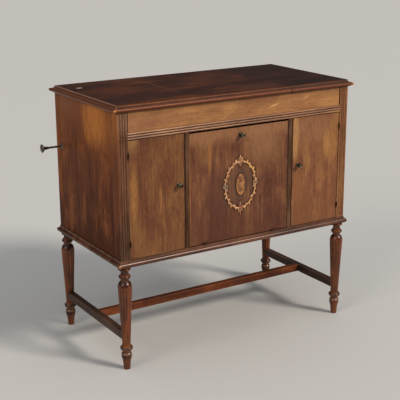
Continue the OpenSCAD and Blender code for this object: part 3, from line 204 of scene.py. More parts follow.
def walnut(
    name,
    grain,
    dark,
    middle,
    light,
    stains=(),
    ragged=2.0,
    gloss=0.42,
    figure=1.0,
    streaky=0.2,
    shift=0.0,
    worn=0.5,
    rubbed="#b07a4c",
    dirt_and_shade=0.75,
    dirt_and_shade_reach=0.009,
    dirt_and_shade_full=0.45,
    rounds=0.0022,
    shine=0.2,
    sheen_tone="#ffffff",
    open_pores=0.2,
):
    """Old shellacked walnut: clouds, broad figure and fine streaks along the grain axis.

    The finish has sunk into the pores, and edges as round as rounds are rubbed pale. Dirt and
    painted shade darken corners up to dirt_and_shade_reach deep, thickest where only
    dirt_and_shade_full of the sky shows."""
    cloud_width = 0.075
    band_width = 0.032 / figure
    streak_width = 0.0048
    fleck_width = 0.011
    pore_width = 0.0014  # real pores are 0.3 mm wide; drawn coarser to show
    nick_width = 0.0045
    rubbed_width = 0.02
    smudge_width = 0.12
    material, tree, output = blank(name)
    place = add(tree, "ShaderNodeTexCoord", out="Object")
    turned = add(
        tree,
        "ShaderNodeMapping",
        {"Vector": place, "Rotation": GRAIN_TURN[grain], "Location": (shift, shift * 0.7, shift)},
    )

    def figure_of(width, stretch, detail, distortion=0.0):
        """Figure that is width across the grain and stretch times as long."""
        drawn_out = add(
            tree, "ShaderNodeMapping", {"Vector": turned, "Scale": (1, 1, 1 / stretch)}
        )
        return add(
            tree,
            "ShaderNodeTexNoise",
            {
                "Vector": drawn_out,
                "Scale": 1 / width,
                "Detail": detail,
                "Roughness": 0.6,
                "Distortion": distortion,
            },
        )

    clouds = figure_of(cloud_width, 2.2, 5, 0.4)
    bands = figure_of(band_width, 12, 5, 0.5)
    streaks = figure_of(streak_width, 34, 5)
    flecks = figure_of(fleck_width, 1.2, 6, 1.0)
    pores = figure_of(pore_width, 16, 2)
    nicks = figure_of(nick_width, 1.5, 2)
    figured = 0.0
    mixture = ((clouds, 0.42), (bands, 0.48 - streaky), (streaks, streaky), (flecks, 0.1))
    for noise, share in mixture:
        figured = add(
            tree, "ShaderNodeMath", {0: noise, 1: share, 2: figured}, operation="MULTIPLY_ADD"
        )
    colour = add(tree, "ShaderNodeValToRGB", {"Fac": figured})
    tones = colour.node.color_ramp.elements
    tones[0].position, tones[0].color = 0.42, linear(dark)
    tones[1].position, tones[1].color = 0.58, linear(light)
    tones.new(0.5).color = linear(middle)

    colour = stained(tree, place, figured, colour, stains, ragged)
    in_pores = add(
        tree,
        "ShaderNodeMapRange",
        {"Value": pores, "From Min": 0.5, "From Max": 0.36, "To Max": 0.1 + 1.6 * open_pores},
    )
    in_nicks = add(
        tree,
        "ShaderNodeMapRange",
        {"Value": nicks, "From Min": 0.7, "From Max": 0.78, "To Max": 0.6 * worn},
    )

    # Dirt and painted shade: corners and recesses that hide the sky are darkened.
    corner = add(tree, "ShaderNodeAmbientOcclusion", {"Distance": dirt_and_shade_reach}, out="AO", samples=6)
    dirt_and_shade_in_corners = add(
        tree,
        "ShaderNodeMapRange",
        {"Value": corner, "From Min": dirt_and_shade_full + 0.35, "From Max": dirt_and_shade_full, "To Max": dirt_and_shade},
    )

    rounded = add(tree, "ShaderNodeBevel", {"Radius": rounds}, samples=4)
    true_normal = add(tree, "ShaderNodeNewGeometry", out="Normal")
    flatness = add(
        tree,
        "ShaderNodeVectorMath",
        {0: rounded, 1: true_normal},
        out="Value",
        operation="DOT_PRODUCT",
    )
    on_edges = add(
        tree,
        "ShaderNodeMapRange",
        {"Value": flatness, "From Min": 0.995, "From Max": 0.9, "To Max": worn},
    )
    rubbed_places = figure_of(rubbed_width, 3, 3)
    on_rubbed_edges = add(
        tree, "ShaderNodeMath", {0: on_edges, 1: rubbed_places}, operation="MULTIPLY"
    )

    for cover, tone in (
        (in_pores, SUNK_FINISH),
        (in_nicks, rubbed),
        (dirt_and_shade_in_corners, CORNER_DIRT_AND_SHADE),
        (on_rubbed_edges, rubbed),
    ):
        layer = {0: cover, 6: colour, 7: linear(tone)}
        colour = add(tree, "ShaderNodeMix", layer, out=2, data_type="RGBA")

    smudges = add(
        tree, "ShaderNodeTexNoise", {"Vector": place, "Scale": 1 / smudge_width, "Detail": 3.0}
    )
    dullness = add(
        tree,
        "ShaderNodeMapRange",
        {
            "Value": smudges,
            "From Min": 0.3,
            "From Max": 0.7,
            "To Min": gloss - 0.02,
            "To Max": gloss + 0.03,
        },
    )
    sunk = add(tree, "ShaderNodeMath", {0: streaks, 1: 0.4, 2: pores}, operation="MULTIPLY_ADD")
    relief = add(
        tree, "ShaderNodeBump", {"Height": sunk, "Strength": open_pores, "Distance": 0.0004}
    )
    shader = add(
        tree,
        "ShaderNodeBsdfPrincipled",
        {
            "Base Color": colour,
            "Roughness": dullness,
            "Normal": relief,
            "IOR": 1.5,  # shellac
            "Specular IOR Level": shine,  # less than new: the finish is dull with age
            "Specular Tint": linear(sheen_tone),
        },
    )
    tree.links.new(shader, output.inputs["Surface"])
    return material


def dress(material, *names, arris=ARRIS):
    """Gives CAD nodes their finish and, where they are boards, slightly rounded arrises."""
    for name in names:
        board = cabinet[name]
        board.data.materials.clear()
        board.data.materials.append(material)
        if arris:
            weld = board.modifiers.new("joined", "WELD")
            weld.merge_threshold = MERGE
            round_over = board.modifiers.new("arris", "BEVEL")
            round_over.width = arris
            round_over.segments = 2
            round_over.limit_method = "ANGLE"
            round_over.angle_limit = ARRIS_ANGLE
            round_over.harden_normals = True


SKIN = 0.012  # stains stay on a board's outer face
POST_SKIN = 0.0035  # and on a post's outer side, short of its flutes
POST_FRONT = 0.012
POST_ARRIS = 0.0003
DRY_SHEEN = "#d8a070"

panel_low, panel_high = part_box("side_panel_left")
panel_mid = (panel_low + panel_high) / 2
post_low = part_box("front_post_left")[0]

# Sliced veneer with long straight grain: red-brown and darker towards the bottom, with a
# painted glow of light, honey brown, in fingers under the top, most of all on the left.
for side, face_x, painted_glow in (("left", panel_low.x, 0.9), ("right", -panel_low.x, 0.35)):
    side_walnut = walnut(
        "side_walnut_" + side,
        "Z",
        "#582a14",
        "#713c1e",
        "#8e5228",
        stains=[
            # painted glow of light under the top, scaled for each side
            ((face_x, -0.08, panel_high.z - 0.03), (SKIN, 0.13, 0.12), "#cc803c", 0.85 * painted_glow),
            ((face_x, panel_low.y, panel_high.z), (SKIN, 0.09, 0.2), "#8a5228", 0.6 * painted_glow),
            (
                (face_x, panel_high.y - 0.05, panel_high.z),
                (SKIN, 0.16, 0.1),
                "#88583a",
                0.7 * painted_glow,
            ),
            ((face_x, panel_mid.y, panel_mid.z - 0.05), (SKIN, 0.4, 0.14), "#5c2e18", 0.65),
            ((face_x, panel_mid.y, panel_low.z), (SKIN, 0.5, 0.2), "#472210", 0.9),
            (  # the back edge: rubbed pale, with a painted highlight
                (face_x, panel_high.y - 0.002, panel_mid.z + 0.02),
                (SKIN, 0.003, 0.14),
                "#a0602c",
                painted_glow,
            ),
        ],
        ragged=5.0,
        figure=1.6,
        streaky=0.34,
        shine=0.06,
        sheen_tone=DRY_SHEEN,
        open_pores=0.14,
    )
    dress(side_walnut, "side_panel_" + side, "back_post_" + side)

# Solid timber, planed and fluted: greyish brown and dull, with dirt and painted shade black in
# the flutes, pinkish rubbed wood and painted highlight on the ribs, and the side panels' painted
# glow at the top of its side.
left_post_walnut = walnut(
    "left_post_walnut",
    "Z",
    "#3e251a",
    "#563627",
    "#6f4a37",
    stains=[
        # the side panels' painted glow at the top of the side face, darker towards the bottom
        ((post_low.x, 0, panel_high.z), (POST_SKIN, ALL, 0.2), "#b46c30", 0.95),
        ((post_low.x, 0, panel_mid.z), (POST_SKIN, ALL, 0.3), "#6e3a1c", 0.8),
        ((post_low.x, 0, panel_low.z), (POST_SKIN, ALL, 0.15), "#4a2612", 0.9),
        ((0, post_low.y, panel_high.z), (ALL, POST_FRONT, 0.09), "#8e6a54", 0.7),
        ((0, post_low.y, panel_low.z), (ALL, POST_FRONT, 0.18), "#34261e", 0.85),
    ],
    gloss=0.38,
    worn=1.0,
    # pinkish on the ribs: rubbed wood and a painted highlight
    rubbed="#a47c64",
    dirt_and_shade=1.0,
    dirt_and_shade_reach=0.006,
    dirt_and_shade_full=0.6,
    rounds=0.003,
    shine=0.06,
    sheen_tone=DRY_SHEEN,
    shift=2.3,
)

# The same timber, bleached to a warm light brown that still has some shine.
right_post_walnut = walnut(
    "right_post_walnut",
    "Z",
    "#6c4228",
    "#87593a",
    "#9f7048",
    stains=[
        ((-post_low.x, 0, panel_high.z), (POST_SKIN, ALL, 0.2), "#8e5630", 0.8),
        ((-post_low.x, 0, panel_mid.z), (POST_SKIN, ALL, 0.3), "#6e3a1c", 0.8),
        ((-post_low.x, 0, panel_low.z), (POST_SKIN, ALL, 0.2), "#4c2812", 0.9),
    ],
    gloss=0.34,
    worn=0.8,
    dirt_and_shade=1.0,
    dirt_and_shade_reach=0.006,
    dirt_and_shade_full=0.55,
    shift=3.1,
)

# A sawn board with a thin coat: flat, even and dusty brown, for nobody was to see it.
back_walnut = walnut(
    "back_walnut", "X", "#4c3222", "#63432f", "#7a5540", gloss=0.6, shift=5.1, worn=0.2
)

dress(left_post_walnut, "front_post_left", arris=POST_ARRIS)
dress(right_post_walnut, "front_post_right", arris=POST_ARRIS)
dress(back_walnut, "back_panel")

# ---- Top: lid and fixed end ----------------------------------------------------------------
# The top's boards run the cabinet's length, stained nearly black-red, with a moulded edge.
# The lid is the long left part; the short right part is glued down.

VENEER_JOINT_X = -0.165
NOSE_DEEP = 0.014
NOSE_HALF = 0.0095
RUBBED_CORNER = (0.009, 0.009, 0.006)  # this and the next are the reach of a stain
BUTT_END = (0.004, ALL, ALL)
# painted highlight: the moulding's nose lighter and redder along the front and the ends
NOSE_FRONT_HIGHLIGHT = "#76402c"
NOSE_END_HIGHLIGHT = "#70422c"
# rubbed to bare wood, with a painted highlight, at the front corners of the nose
BARE_WOOD_AND_HIGHLIGHT = "#c07038"
# painted shade in the joint between the lid and the fixed top
GAP_SHADE = "#180a06"

lid_low, lid_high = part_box("lid")
fixed_low, fixed_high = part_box("fixed_top")
nose_z = lid_low.z + 0.008
nose_mid = nose_z - 0.001
fillet_x = lid_low.x + 0.0105
upper_edge_x = lid_low.x + 0.0155
top_polish = {
    "gloss": 0.3,
    "figure": 0.9,
    "worn": 0.9,
    "rubbed": "#8c4c2e",
    "dirt_and_shade": 0.3,
    "dirt_and_shade_reach": 0.003,
    "rounds": 0.004,
    "shine": 0.36,
    "sheen_tone": "#e8bc9c",
    "open_pores": 0.08,
}

# Polished veneer under many coats: nearly black-red and glossy, with a redder glow where
# light has thinned the stain, a pale scratch at the veneer's joint and a chip to bare wood.
lid_walnut = walnut(
    "lid_walnut",
    "X",
    "#26100a",
    "#3e1d0f",
    "#5e3216",
    stains=[
        ((lid_low.x, 0, 0), (VENEER_JOINT_X - lid_low.x + 0.02, ALL, ALL), "#2c130a", 0.4),
        ((-0.31, 0.02, 0), (0.12, 0.1, ALL), "#5d2f14", 0.6),
        ((0.02, 0.06, 0), (0.1, 0.12, ALL), "#522a18", 0.5),
        ((0.1, -0.17, 0), (0.13, 0.06, ALL), "#5c3626", 0.5),
        ((VENEER_JOINT_X, 0.02, lid_high.z), (0.0028, 0.17, 0.01), "#7c4a34", 0.75),
        ((-0.4, 0.128, lid_high.z), (0.013, 0.006, 0.003), "#e0c8bc", 1.0),  # a chip
        ((0, lid_low.y, nose_mid), (ALL, NOSE_DEEP, NOSE_HALF), NOSE_FRONT_HIGHLIGHT, 0.65),
        ((lid_low.x, 0, nose_mid), (NOSE_DEEP, ALL, NOSE_HALF), NOSE_END_HIGHLIGHT, 0.7),
        ((fillet_x, 0, lid_high.z - 0.0055), (0.0075, ALL, 0.007), "#6c4630", 0.8),
        # painted highlight: a pale line along the upper arris at the left end
        ((upper_edge_x, 0, lid_high.z), (0.0026, ALL, 0.003), "#b48c74", 0.8),
        ((lid_low.x, lid_low.y, nose_z), RUBBED_CORNER, BARE_WOOD_AND_HIGHLIGHT, 0.95),
        ((lid_high.x, 0, 0), BUTT_END, GAP_SHADE, 0.9),
    ],
    shift=1.4,
    **top_polish,
)

# The same veneer and polish, a little darker, for this end was never handled.
fixed_top_walnut = walnut(
    "fixed_top_walnut",
    "X",
    "#211008",
    "#30190e",
    "#452415",
    stains=[
        ((0, 0.1, fixed_high.z), (ALL, 0.14, 0.01), "#2c170e", 0.5),
        ((0, fixed_low.y, nose_mid), (ALL, NOSE_DEEP, NOSE_HALF), NOSE_FRONT_HIGHLIGHT, 0.65),
        ((fixed_high.x, 0, nose_mid), (NOSE_DEEP, ALL, NOSE_HALF), NOSE_END_HIGHLIGHT, 0.7),
        ((fixed_high.x, fixed_low.y, nose_z), RUBBED_CORNER, BARE_WOOD_AND_HIGHLIGHT, 0.95),
        ((fixed_low.x, 0, 0), BUTT_END, GAP_SHADE, 0.9),
    ],
    shift=1.9,
    **top_polish,
)

dress(lid_walnut, "lid", arris=0.0)
dress(fixed_top_walnut, "fixed_top", arris=0.0)

# ---- Frieze, beads and base board ----------------------------------------------------------
# The frieze is a plain rail of lighter veneer laid lengthwise. Under it runs a rail with three
# beads, and the base board carries a moulding of the same wood.

frieze_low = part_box("frieze_rail")[0]
base_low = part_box("base_board")[0]
base_nose_z = base_low.z + 0.009

# Veneer that daylight has bleached: light brown and even, with two pale scratches.
frieze_walnut = walnut(
    "frieze_walnut",
    "X",
    "#83573a",
    "#966842",
    "#a9784a",
    stains=[
        ((0.133, 0, 0.803), (0.028, ALL, 0.0019), "#e8c48c", 1.0, -0.24),
        ((0.265, 0, 0.817), (0.02, ALL, 0.0022), "#d4a870", 0.9, -0.3),
        ((frieze_low.x, 0, 0.8), (0.2, ALL, 0.03), "#8f6148", 0.5),
    ],
    figure=0.9,
    streaky=0.12,
    shift=3.7,
    open_pores=0.1,
)

# Moulded close-grained wood: smooth and shiny, with light crests, and dirt and painted shade in
# the quirks.
bead_walnut = walnut(
    "bead_walnut",
    "X",
    "#6e4329",
    "#8c5c3b",
    "#aa7a50",
    gloss=0.34,
    shift=4.4,
    rubbed="#cfa074",
    dirt_and_shade=0.85,
    dirt_and_shade_reach=0.006,
    dirt_and_shade_full=0.55,
    rounds=0.003,
    shine=0.42,
    open_pores=0.03,
)

# Moulded board under thick varnish: dark and glossy, grey-brown where feet have scuffed it
# and bare at the corner.
base_walnut = walnut(
    "base_walnut",
    "X",
    "#381b0d",
    "#502c1a",
    "#6b422c",
    stains=[((base_low.x, base_low.y, base_nose_z), (0.01, 0.01, 0.008), "#b06a34", 0.95)],
    gloss=0.27,
    shift=6.2,
    worn=1.0,
    rubbed="#96705a",
    dirt_and_shade=0.9,
    dirt_and_shade_reach=0.006,
    rounds=0.004,
    shine=0.34,
    open_pores=0.12,
)

dress(frieze_walnut, "frieze_rail")
dress(bead_walnut, "bead_rail", arris=0.0)
dress(base_walnut, "base_board", arris=0.0)

# ---- Stiles and the boards inside ------------------------------------------------------------
# Narrow stiles stand between the doors. The boards inside the bays and round the well are
# plainer timber with a thin brown stain.

INNER_TONES = ("#5d4029", "#775437", "#8f6a48")
STILE_EDGE_SHADOW = "#0c0604"

stile_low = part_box("stile_left")[0]

# Solid strips with little finish left: grey-brown and dull, with black painted shadow where they
# meet the doors.
stile_walnut = walnut(
    "stile_walnut",
    "Z",
    "#3a291f",
    "#523a2b",
    "#694d3d",
    stains=[
        ((stile_low.x, 0, 0), (0.0028, ALL, ALL), STILE_EDGE_SHADOW, 0.95),
        ((-stile_low.x, 0, 0), (0.0015, ALL, ALL), STILE_EDGE_SHADOW, 0.8),
    ],
    shift=7.5,
    dirt_and_shade=0.9,
    shine=0.1,
    sheen_tone="#d8b090",
)

# Planed boards, stained but not polished: dry mid-brown, with the grain upright or lengthwise.
inner_wood = walnut("inner_wood", "Z", *INNER_TONES, gloss=0.62, shift=8.8, worn=0.2)
well_wood = walnut("well_wood", "X", *INNER_TONES, gloss=0.62, shift=6.8, worn=0.3)

# The deck is the one board in the well that was polished: warmer, with a soft shine.
deck_wood = walnut(
    "deck_wood", "X", "#5a3520", "#7a4d2e", "#96653e", gloss=0.4, shift=9.3, worn=0.3
)

dress(stile_walnut, "stile_left", "stile_right")
dress(inner_wood, "partition_left", "partition_right", "lid_partition")
dress(well_wood, "well_front_board")
dress(deck_wood, "motor_board")

# ---- Doors and flap ------------------------------------------------------------------------
# Flush slabs, veneered with upright grain. The two side doors have bleached towards
# honey brown; the flap between them has stayed darker and redder, most of all low down.

# painted shadow in the gaps at the meeting edges of the doors and the flap
DOOR_EDGE_SHADOW = "#120804"

door_low, door_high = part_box("left_door")
flap_low, flap_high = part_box("flap")
ornament_low, ornament_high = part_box("flap_ornament")
wreath_z = (ornament_low.z + ornament_high.z) / 2

# Sliced veneer with the grain upright: brown, with yellower streaks in the middle where the
# stain has gone, and a painted shadow line at the meeting edge. Its tones are set darker than
# the right door's: painted shade, for the window light falls from the right.
left_door_walnut = walnut(
    "left_door_walnut",
    "Z",
    "#583320",
    "#6c422a",
    "#805732",
    stains=[
        ((-0.394, 0, 0.57), (0.017, ALL, 0.13), "#9c6c3a", 0.75),
        ((-0.39, 0, 0.44), (0.02, ALL, 0.05), "#744a30", 0.6),
        ((-0.4, 0, door_high.z), (0.03, ALL, 0.05), "#9a7448", 0.6),
        ((-0.3, 0, 0.55), (0.008, ALL, 0.06), "#946438", 0.7),
        ((-0.35, 0, door_low.z), (0.04, ALL, 0.05), "#7e5636", 0.5),
        ((-0.25, 0, 0.42), (0.05, ALL, 0.06), "#6c422c", 0.6),
        ((-0.325, 0, door_low.z), (0.09, ALL, 0.003), "#b08458", 0.6),
        ((door_low.x, 0, 0.56), (0.0025, ALL, 0.19), "#a87848", 0.6),
        ((-0.27, 0, 0.63), (0.025, ALL, 0.07), "#673a26", 0.6),
        ((door_high.x, 0, 0), (0.0045, ALL, ALL), DOOR_EDGE_SHADOW, 0.95),
    ],
    ragged=3.0,
    figure=1.1,
    streaky=0.28,
    shift=10.4,
)

# The same veneer, bleached further and painted lighter where the window light falls: the
# lightest of the three, honey brown at the top.
right_door_walnut = walnut(
    "right_door_walnut",
    "Z",
    "#6b4029",
    "#825337",
    "#97693c",
    stains=[
        ((0.362, 0, 0.65), (0.022, ALL, 0.07), "#ab7c46", 0.7),
        ((0.3, 0, 0.71), (0.1, ALL, 0.07), "#966848", 0.6),
        ((0.224, 0, 0.69), (0.018, ALL, 0.1), "#ae8052", 0.8),
        ((0.24, 0, 0.5), (0.03, ALL, 0.1), "#8a5a36", 0.6),
        ((0.31, 0, door_low.z), (ALL, ALL, 0.12), "#7c5032", 0.6),
        ((-door_high.x, 0, 0), (0.0035, ALL, ALL), DOOR_EDGE_SHADOW, 0.9),
    ],
    ragged=3.0,
    figure=1.1,
    streaky=0.26,
    shift=11.1,
)

# The same veneer, with more of its stain: redder and darker low down, with dirt and painted
# shade, black, round the carving, and a painted shadow line at its meeting edge.
flap_walnut = walnut(
    "flap_walnut",
    "Z",
    "#553022",
    "#6d432d",
    "#835938",
    stains=[
        ((-0.135, 0, 0.69), (0.035, ALL, 0.07), "#8f643c", 0.55),
        ((-0.118, 0, 0.65), (0.008, ALL, 0.08), "#986438", 0.65),
        ((0, 0, flap_high.z), (ALL, ALL, 0.05), "#9a6c4a", 0.65),
        ((flap_low.x, 0, 0.44), (0.06, ALL, 0.12), "#643c2a", 0.75),
        ((0.09, 0, 0.69), (0.09, ALL, 0.09), "#95694a", 0.65),
        ((-0.08, 0, 0.54), (0.07, ALL, 0.09), "#5f3a2c", 0.6),
        ((0.03, 0, flap_low.z - 0.02), (0.3, ALL, 0.17), "#553023", 0.75),
        ((0, flap_low.y, wreath_z), (0.078, 0.014, 0.105), "#573d33", 0.8),
        ((flap_low.x, 0, 0.54), (0.004, ALL, 0.2), "#b0703c", 0.85),
        ((flap_high.x, 0, 0), (0.0045, ALL, ALL), DOOR_EDGE_SHADOW, 0.95),
    ],
    ragged=3.0,
    figure=1.1,
    streaky=0.2,
    shift=12.6,
    dirt_and_shade=1.0,
    dirt_and_shade_reach=0.01,
    dirt_and_shade_full=0.65,
)

dress(left_door_walnut, "left_door")
dress(right_door_walnut, "right_door")
dress(flap_walnut, "flap")

# ---- Legs and stretchers -------------------------------------------------------------------
# Turned from solid timber and fluted down the taper, under a thick dark varnish that has
# worn to orange on the ribs. The stretchers are plain square rails tenoned in.

FOOT_NECK_Z = 0.055
RAIL_ARRIS = 0.0012

leg_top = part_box("leg_front_left")[1].z
shoulder_z = leg_top - 0.042

# Turned and fluted timber in thick varnish: black-brown and glossy, with dirt and painted shade
# in the flutes, worn to orange on the ribs, with grey dust on the rings.
leg_walnut = walnut(
    "leg_walnut",
    "Z",
    "#220d06",
    "#471f0c",
    "#7a3c18",
    gloss=0.24,
    figure=2.2,
    streaky=0.26,
    stains=[
        ((0, 0, shoulder_z), (ALL, ALL, 0.02), "#2c1a12", 0.85),
        ((0, 0, FOOT_NECK_Z), (ALL, ALL, 0.0035), "#8a7664", 0.6),  # dust
        ((0, 0, FOOT_NECK_Z + 0.018), (ALL, ALL, 0.012), "#4a382c", 0.6),
        ((0, 0, 0.012), (ALL, ALL, 0.02), "#2c1a10", 0.5),
    ],
    shift=14.9,
    worn=1.0,
    rubbed="#b0622a",
    dirt_and_shade=1.0,
    dirt_and_shade_reach=0.006,
    dirt_and_shade_full=0.6,
    rounds=0.004,
    shine=0.4,
    open_pores=0.12,
)

# Planed rail in the same varnish: red-brown, with pale rubbed arrises.
rail_walnut = walnut("rail_walnut", "X", "#3c1a0c", "#5a2b14", "#78401e", shift=16.1, worn=0.9)

# The side rails have lost their varnish: grey-brown and scuffed.
side_rail_walnut = walnut(
    "side_rail_walnut",
    "Y",
    "#2c1c15",
    "#3e2a20",
    "#543d30",
    shift=17.3,
    worn=1.0,
    rubbed="#a08470",
)

for end in ("front", "back"):
    dress(leg_walnut, f"leg_{end}_left", f"leg_{end}_right", arris=0.0)
dress(rail_walnut, "centre_stretcher", arris=RAIL_ARRIS)
dress(side_rail_walnut, "side_stretcher_left", "side_stretcher_right", arris=RAIL_ARRIS)

# ---- Horn and grille -----------------------------------------------------------------------
# Behind the flap a fretted board covers the horn's mouth, with a woven cloth behind it.
# The horn is thin bent wood and runs back to an iron throat under the sound arm.

CLOTH_THREAD = 0.0016  # real threads are 0.4 mm wide; drawn coarser to show
CLOTH_T = 0.0006
SLACK = 0.00012  # how far the cloth wanders between its tacks
SLACK_WAVES = (90, 70)  # radians to the metre, across and up

# Sawn board, stained and shellacked like the case: dark brown with a soft shine.
fret_walnut = walnut("fret_walnut", "X", "#4a2c1c", "#66412a", "#80583a", shift=18.2)

# Thin wood bent and glued: light, dry and unpolished, with its grain along the horn.
horn_ply = walnut(
    "horn_ply", "Y", "#6a4a30", "#86623f", "#a07c52", gloss=0.55, shift=19.6, worn=0.2
)

dress(fret_walnut, "grille_fret")
dress(horn_ply, "horn", arris=0.0)

# Cotton in plain weave, faded gold: matt, with light threads and dark gaps between them.
cloth, tree, output = blank("woven_grille_cloth")
thread_place = add(tree, "ShaderNodeTexCoord", out="Object")
weave = []
for axis in ("X", "Z"):
    threads = add(
        tree,
        "ShaderNodeTexWave",
        {"Vector": thread_place, "Scale": math.pi / (10 * CLOTH_THREAD), "Distortion": 0.4},
        out="Fac",
        bands_direction=axis,
    )
    weave.append(threads)
woven = add(tree, "ShaderNodeMath", {0: weave[0], 1: weave[1]}, operation="MULTIPLY")
dye = add(tree, "ShaderNodeValToRGB", {"Fac": woven})
dye.node.color_ramp.elements[0].color = linear("#5e4022")
dye.node.color_ramp.elements[1].color = linear("#c09c5e")
thread_relief = add(
    tree, "ShaderNodeBump", {"Height": woven, "Strength": 0.6, "Distance": 0.0005}
)
cloth_shader = add(
    tree,
    "ShaderNodeBsdfPrincipled",
    {"Base Color": dye, "Roughness": 0.85, "Sheen Weight": 0.3, "Normal": thread_relief},
)
tree.links.new(cloth_shader, output.inputs["Surface"])


def finish_piece(name, bm, material, body, replaces=(), crease=35):
    """Puts a finished bmesh into the scene, smooth but for its creases, riding on a body."""
    bmesh.ops.remove_doubles(bm, verts=bm.verts, dist=MERGE)
    mesh = bpy.data.meshes.new(name)
    bm.to_mesh(mesh)
    bm.free()
    mesh.shade_smooth()
    mesh.set_sharp_from_angle(angle=math.radians(crease))
    mesh.materials.append(material)
    made = bpy.data.objects.new(name, mesh)
    bpy.context.scene.collection.objects.link(made)
    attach(made, body)
    if replaces:
        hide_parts(*replaces)
    return made


cloth_low, cloth_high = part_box("grille_cloth")
cloth_w = cloth_high.x - cloth_low.x
cloth_h = cloth_high.z - cloth_low.z
bm = bmesh.new()
bmesh.ops.create_grid(bm, x_segments=48, y_segments=40, size=0.5)
bmesh.ops.scale(bm, vec=(cloth_w, cloth_h, 1), verts=bm.verts)
for v in bm.verts:
    v.co.z = SLACK * math.sin(v.co.x * SLACK_WAVES[0]) * math.cos(v.co.y * SLACK_WAVES[1])
bmesh.ops.solidify(bm, geom=bm.faces, thickness=CLOTH_T)
bmesh.ops.recalc_face_normals(bm, faces=bm.faces)
bmesh.ops.rotate(bm, verts=bm.verts, matrix=Matrix.Rotation(math.pi / 2, 3, "X"))
bmesh.ops.translate(bm, verts=bm.verts, vec=(cloth_low + cloth_high) / 2)
grille_cloth_piece = finish_piece(
    "grille_cloth_woven", bm, cloth, "cabinet", ["grille_cloth"]
)

# ---- Metal of the motor, hinges and stay -----------------------------------------------------
# The motor frame and the throat are cast iron, the shaft and barrels are steel, and hinges,
# stay and gear are brass. What the hand touches is nickel-plated. All keep the CAD's shape.


def metal(name, tone, dull_tone, roughness, grime_and_shade="#1a1510"):
    """Bare or plated metal with dull patches, grime and painted shade in the corners, and fine
    scratches.
    """
    patch_width = 0.012
    scratch_width = 0.0015  # real ones are a tenth of this; drawn coarser to show
    grime_and_shade_reach = 0.004
    material, tree, output = blank(name)
    place = add(tree, "ShaderNodeTexCoord", out="Object")
    patches = add(
        tree, "ShaderNodeTexNoise", {"Vector": place, "Scale": 1 / patch_width, "Detail": 5.0}
    )
    scratches = add(
        tree, "ShaderNodeTexNoise", {"Vector": place, "Scale": 1 / scratch_width, "Detail": 2.0}
    )
    plate = add(tree, "ShaderNodeValToRGB", {"Fac": patches})
    tones = plate.node.color_ramp.elements
    tones[0].position, tones[0].color = 0.38, linear(dull_tone)
    tones[1].position, tones[1].color = 0.6, linear(tone)
    # Grime and painted shade: corners that hide the sky are darkened.
    corner = add(
        tree, "ShaderNodeAmbientOcclusion", {"Distance": grime_and_shade_reach}, out="AO", samples=6
    )
    dirt_and_shade_in_corners = add(
        tree,
        "ShaderNodeMapRange",
        {"Value": corner, "From Min": 0.8, "From Max": 0.25, "To Max": 0.8},
    )
    layer = {0: dirt_and_shade_in_corners, 6: plate, 7: linear(grime_and_shade)}
    grimed_and_shaded = add(tree, "ShaderNodeMix", layer, out=2, data_type="RGBA")
    dullness = add(
        tree,
        "ShaderNodeMapRange",
        {
            "Value": patches,
            "From Min": 0.3,
            "From Max": 0.7,
            "To Min": roughness + 0.15,
            "To Max": roughness,
        },
    )
    relief = add(
        tree, "ShaderNodeBump", {"Height": scratches, "Strength": 0.12, "Distance": 0.0002}
    )
    shader = add(
        tree,
        "ShaderNodeBsdfPrincipled",
        {"Base Color": grimed_and_shaded, "Metallic": 1.0, "Roughness": dullness, "Normal": relief},
    )
    tree.links.new(shader, output.inputs["Surface"])
    return material


SAND_GRAIN = 0.0025  # real moulding sand is 0.3 mm; drawn coarser to show
DUST_WIDTH = 0.03

# Enamel brushed thick over cast iron: dark blue-grey, half gloss, with the mould's sandy skin
# showing through and a film of pale dust in patches.
motor_enamel, tree, output = blank("dark_enamel")
iron_place = add(tree, "ShaderNodeTexCoord", out="Object")
sand = add(
    tree, "ShaderNodeTexNoise", {"Vector": iron_place, "Scale": 1 / SAND_GRAIN, "Detail": 3.0}
)
dust = add(
    tree, "ShaderNodeTexNoise", {"Vector": iron_place, "Scale": 1 / DUST_WIDTH, "Detail": 4.0}
)
coat = add(tree, "ShaderNodeValToRGB", {"Fac": dust})
coat_tones = coat.node.color_ramp.elements
coat_tones[0].position, coat_tones[0].color = 0.35, linear("#23282a")
coat_tones[1].position, coat_tones[1].color = 0.8, linear("#5a554c")
sandy_skin = add(tree, "ShaderNodeBump", {"Height": sand, "Strength": 0.3, "Distance": 0.0004})
enamel_shader = add(
    tree,
    "ShaderNodeBsdfPrincipled",
    {"Base Color": coat, "Roughness": 0.4, "Normal": sandy_skin},
)
tree.links.new(enamel_shader, output.inputs["Surface"])

# Turned and pressed mild steel, oiled: mid grey and half bright, browner in patches.
mild_steel = metal("mild_steel", "#8b8a86", "#6a6762", 0.34)

# Stamped brass that was polished once: dull gold, brown in the corners.
aged_brass = metal("aged_brass", "#a5834a", "#6e5530", 0.36, "#2a1c0e")

# Door hinges blackened to match the dark wood: nearly black, with a faint yellow gleam.
dark_brass = metal("blackened_hinge_brass", "#4a3a28", "#2a2018", 0.45, "#120c08")

# Nickel plated on brass and buffed: bright and slightly warm, clouded by handling.
nickel_plate = metal("nickel_plate", "#b9b6ab", "#8f8a7c", 0.26)

# The same plate on the case's outside, tarnished: darker, yellow-grey and half as bright.
dull_nickel = metal("tarnished_nickel", "#807b6c", "#504c40", 0.36)

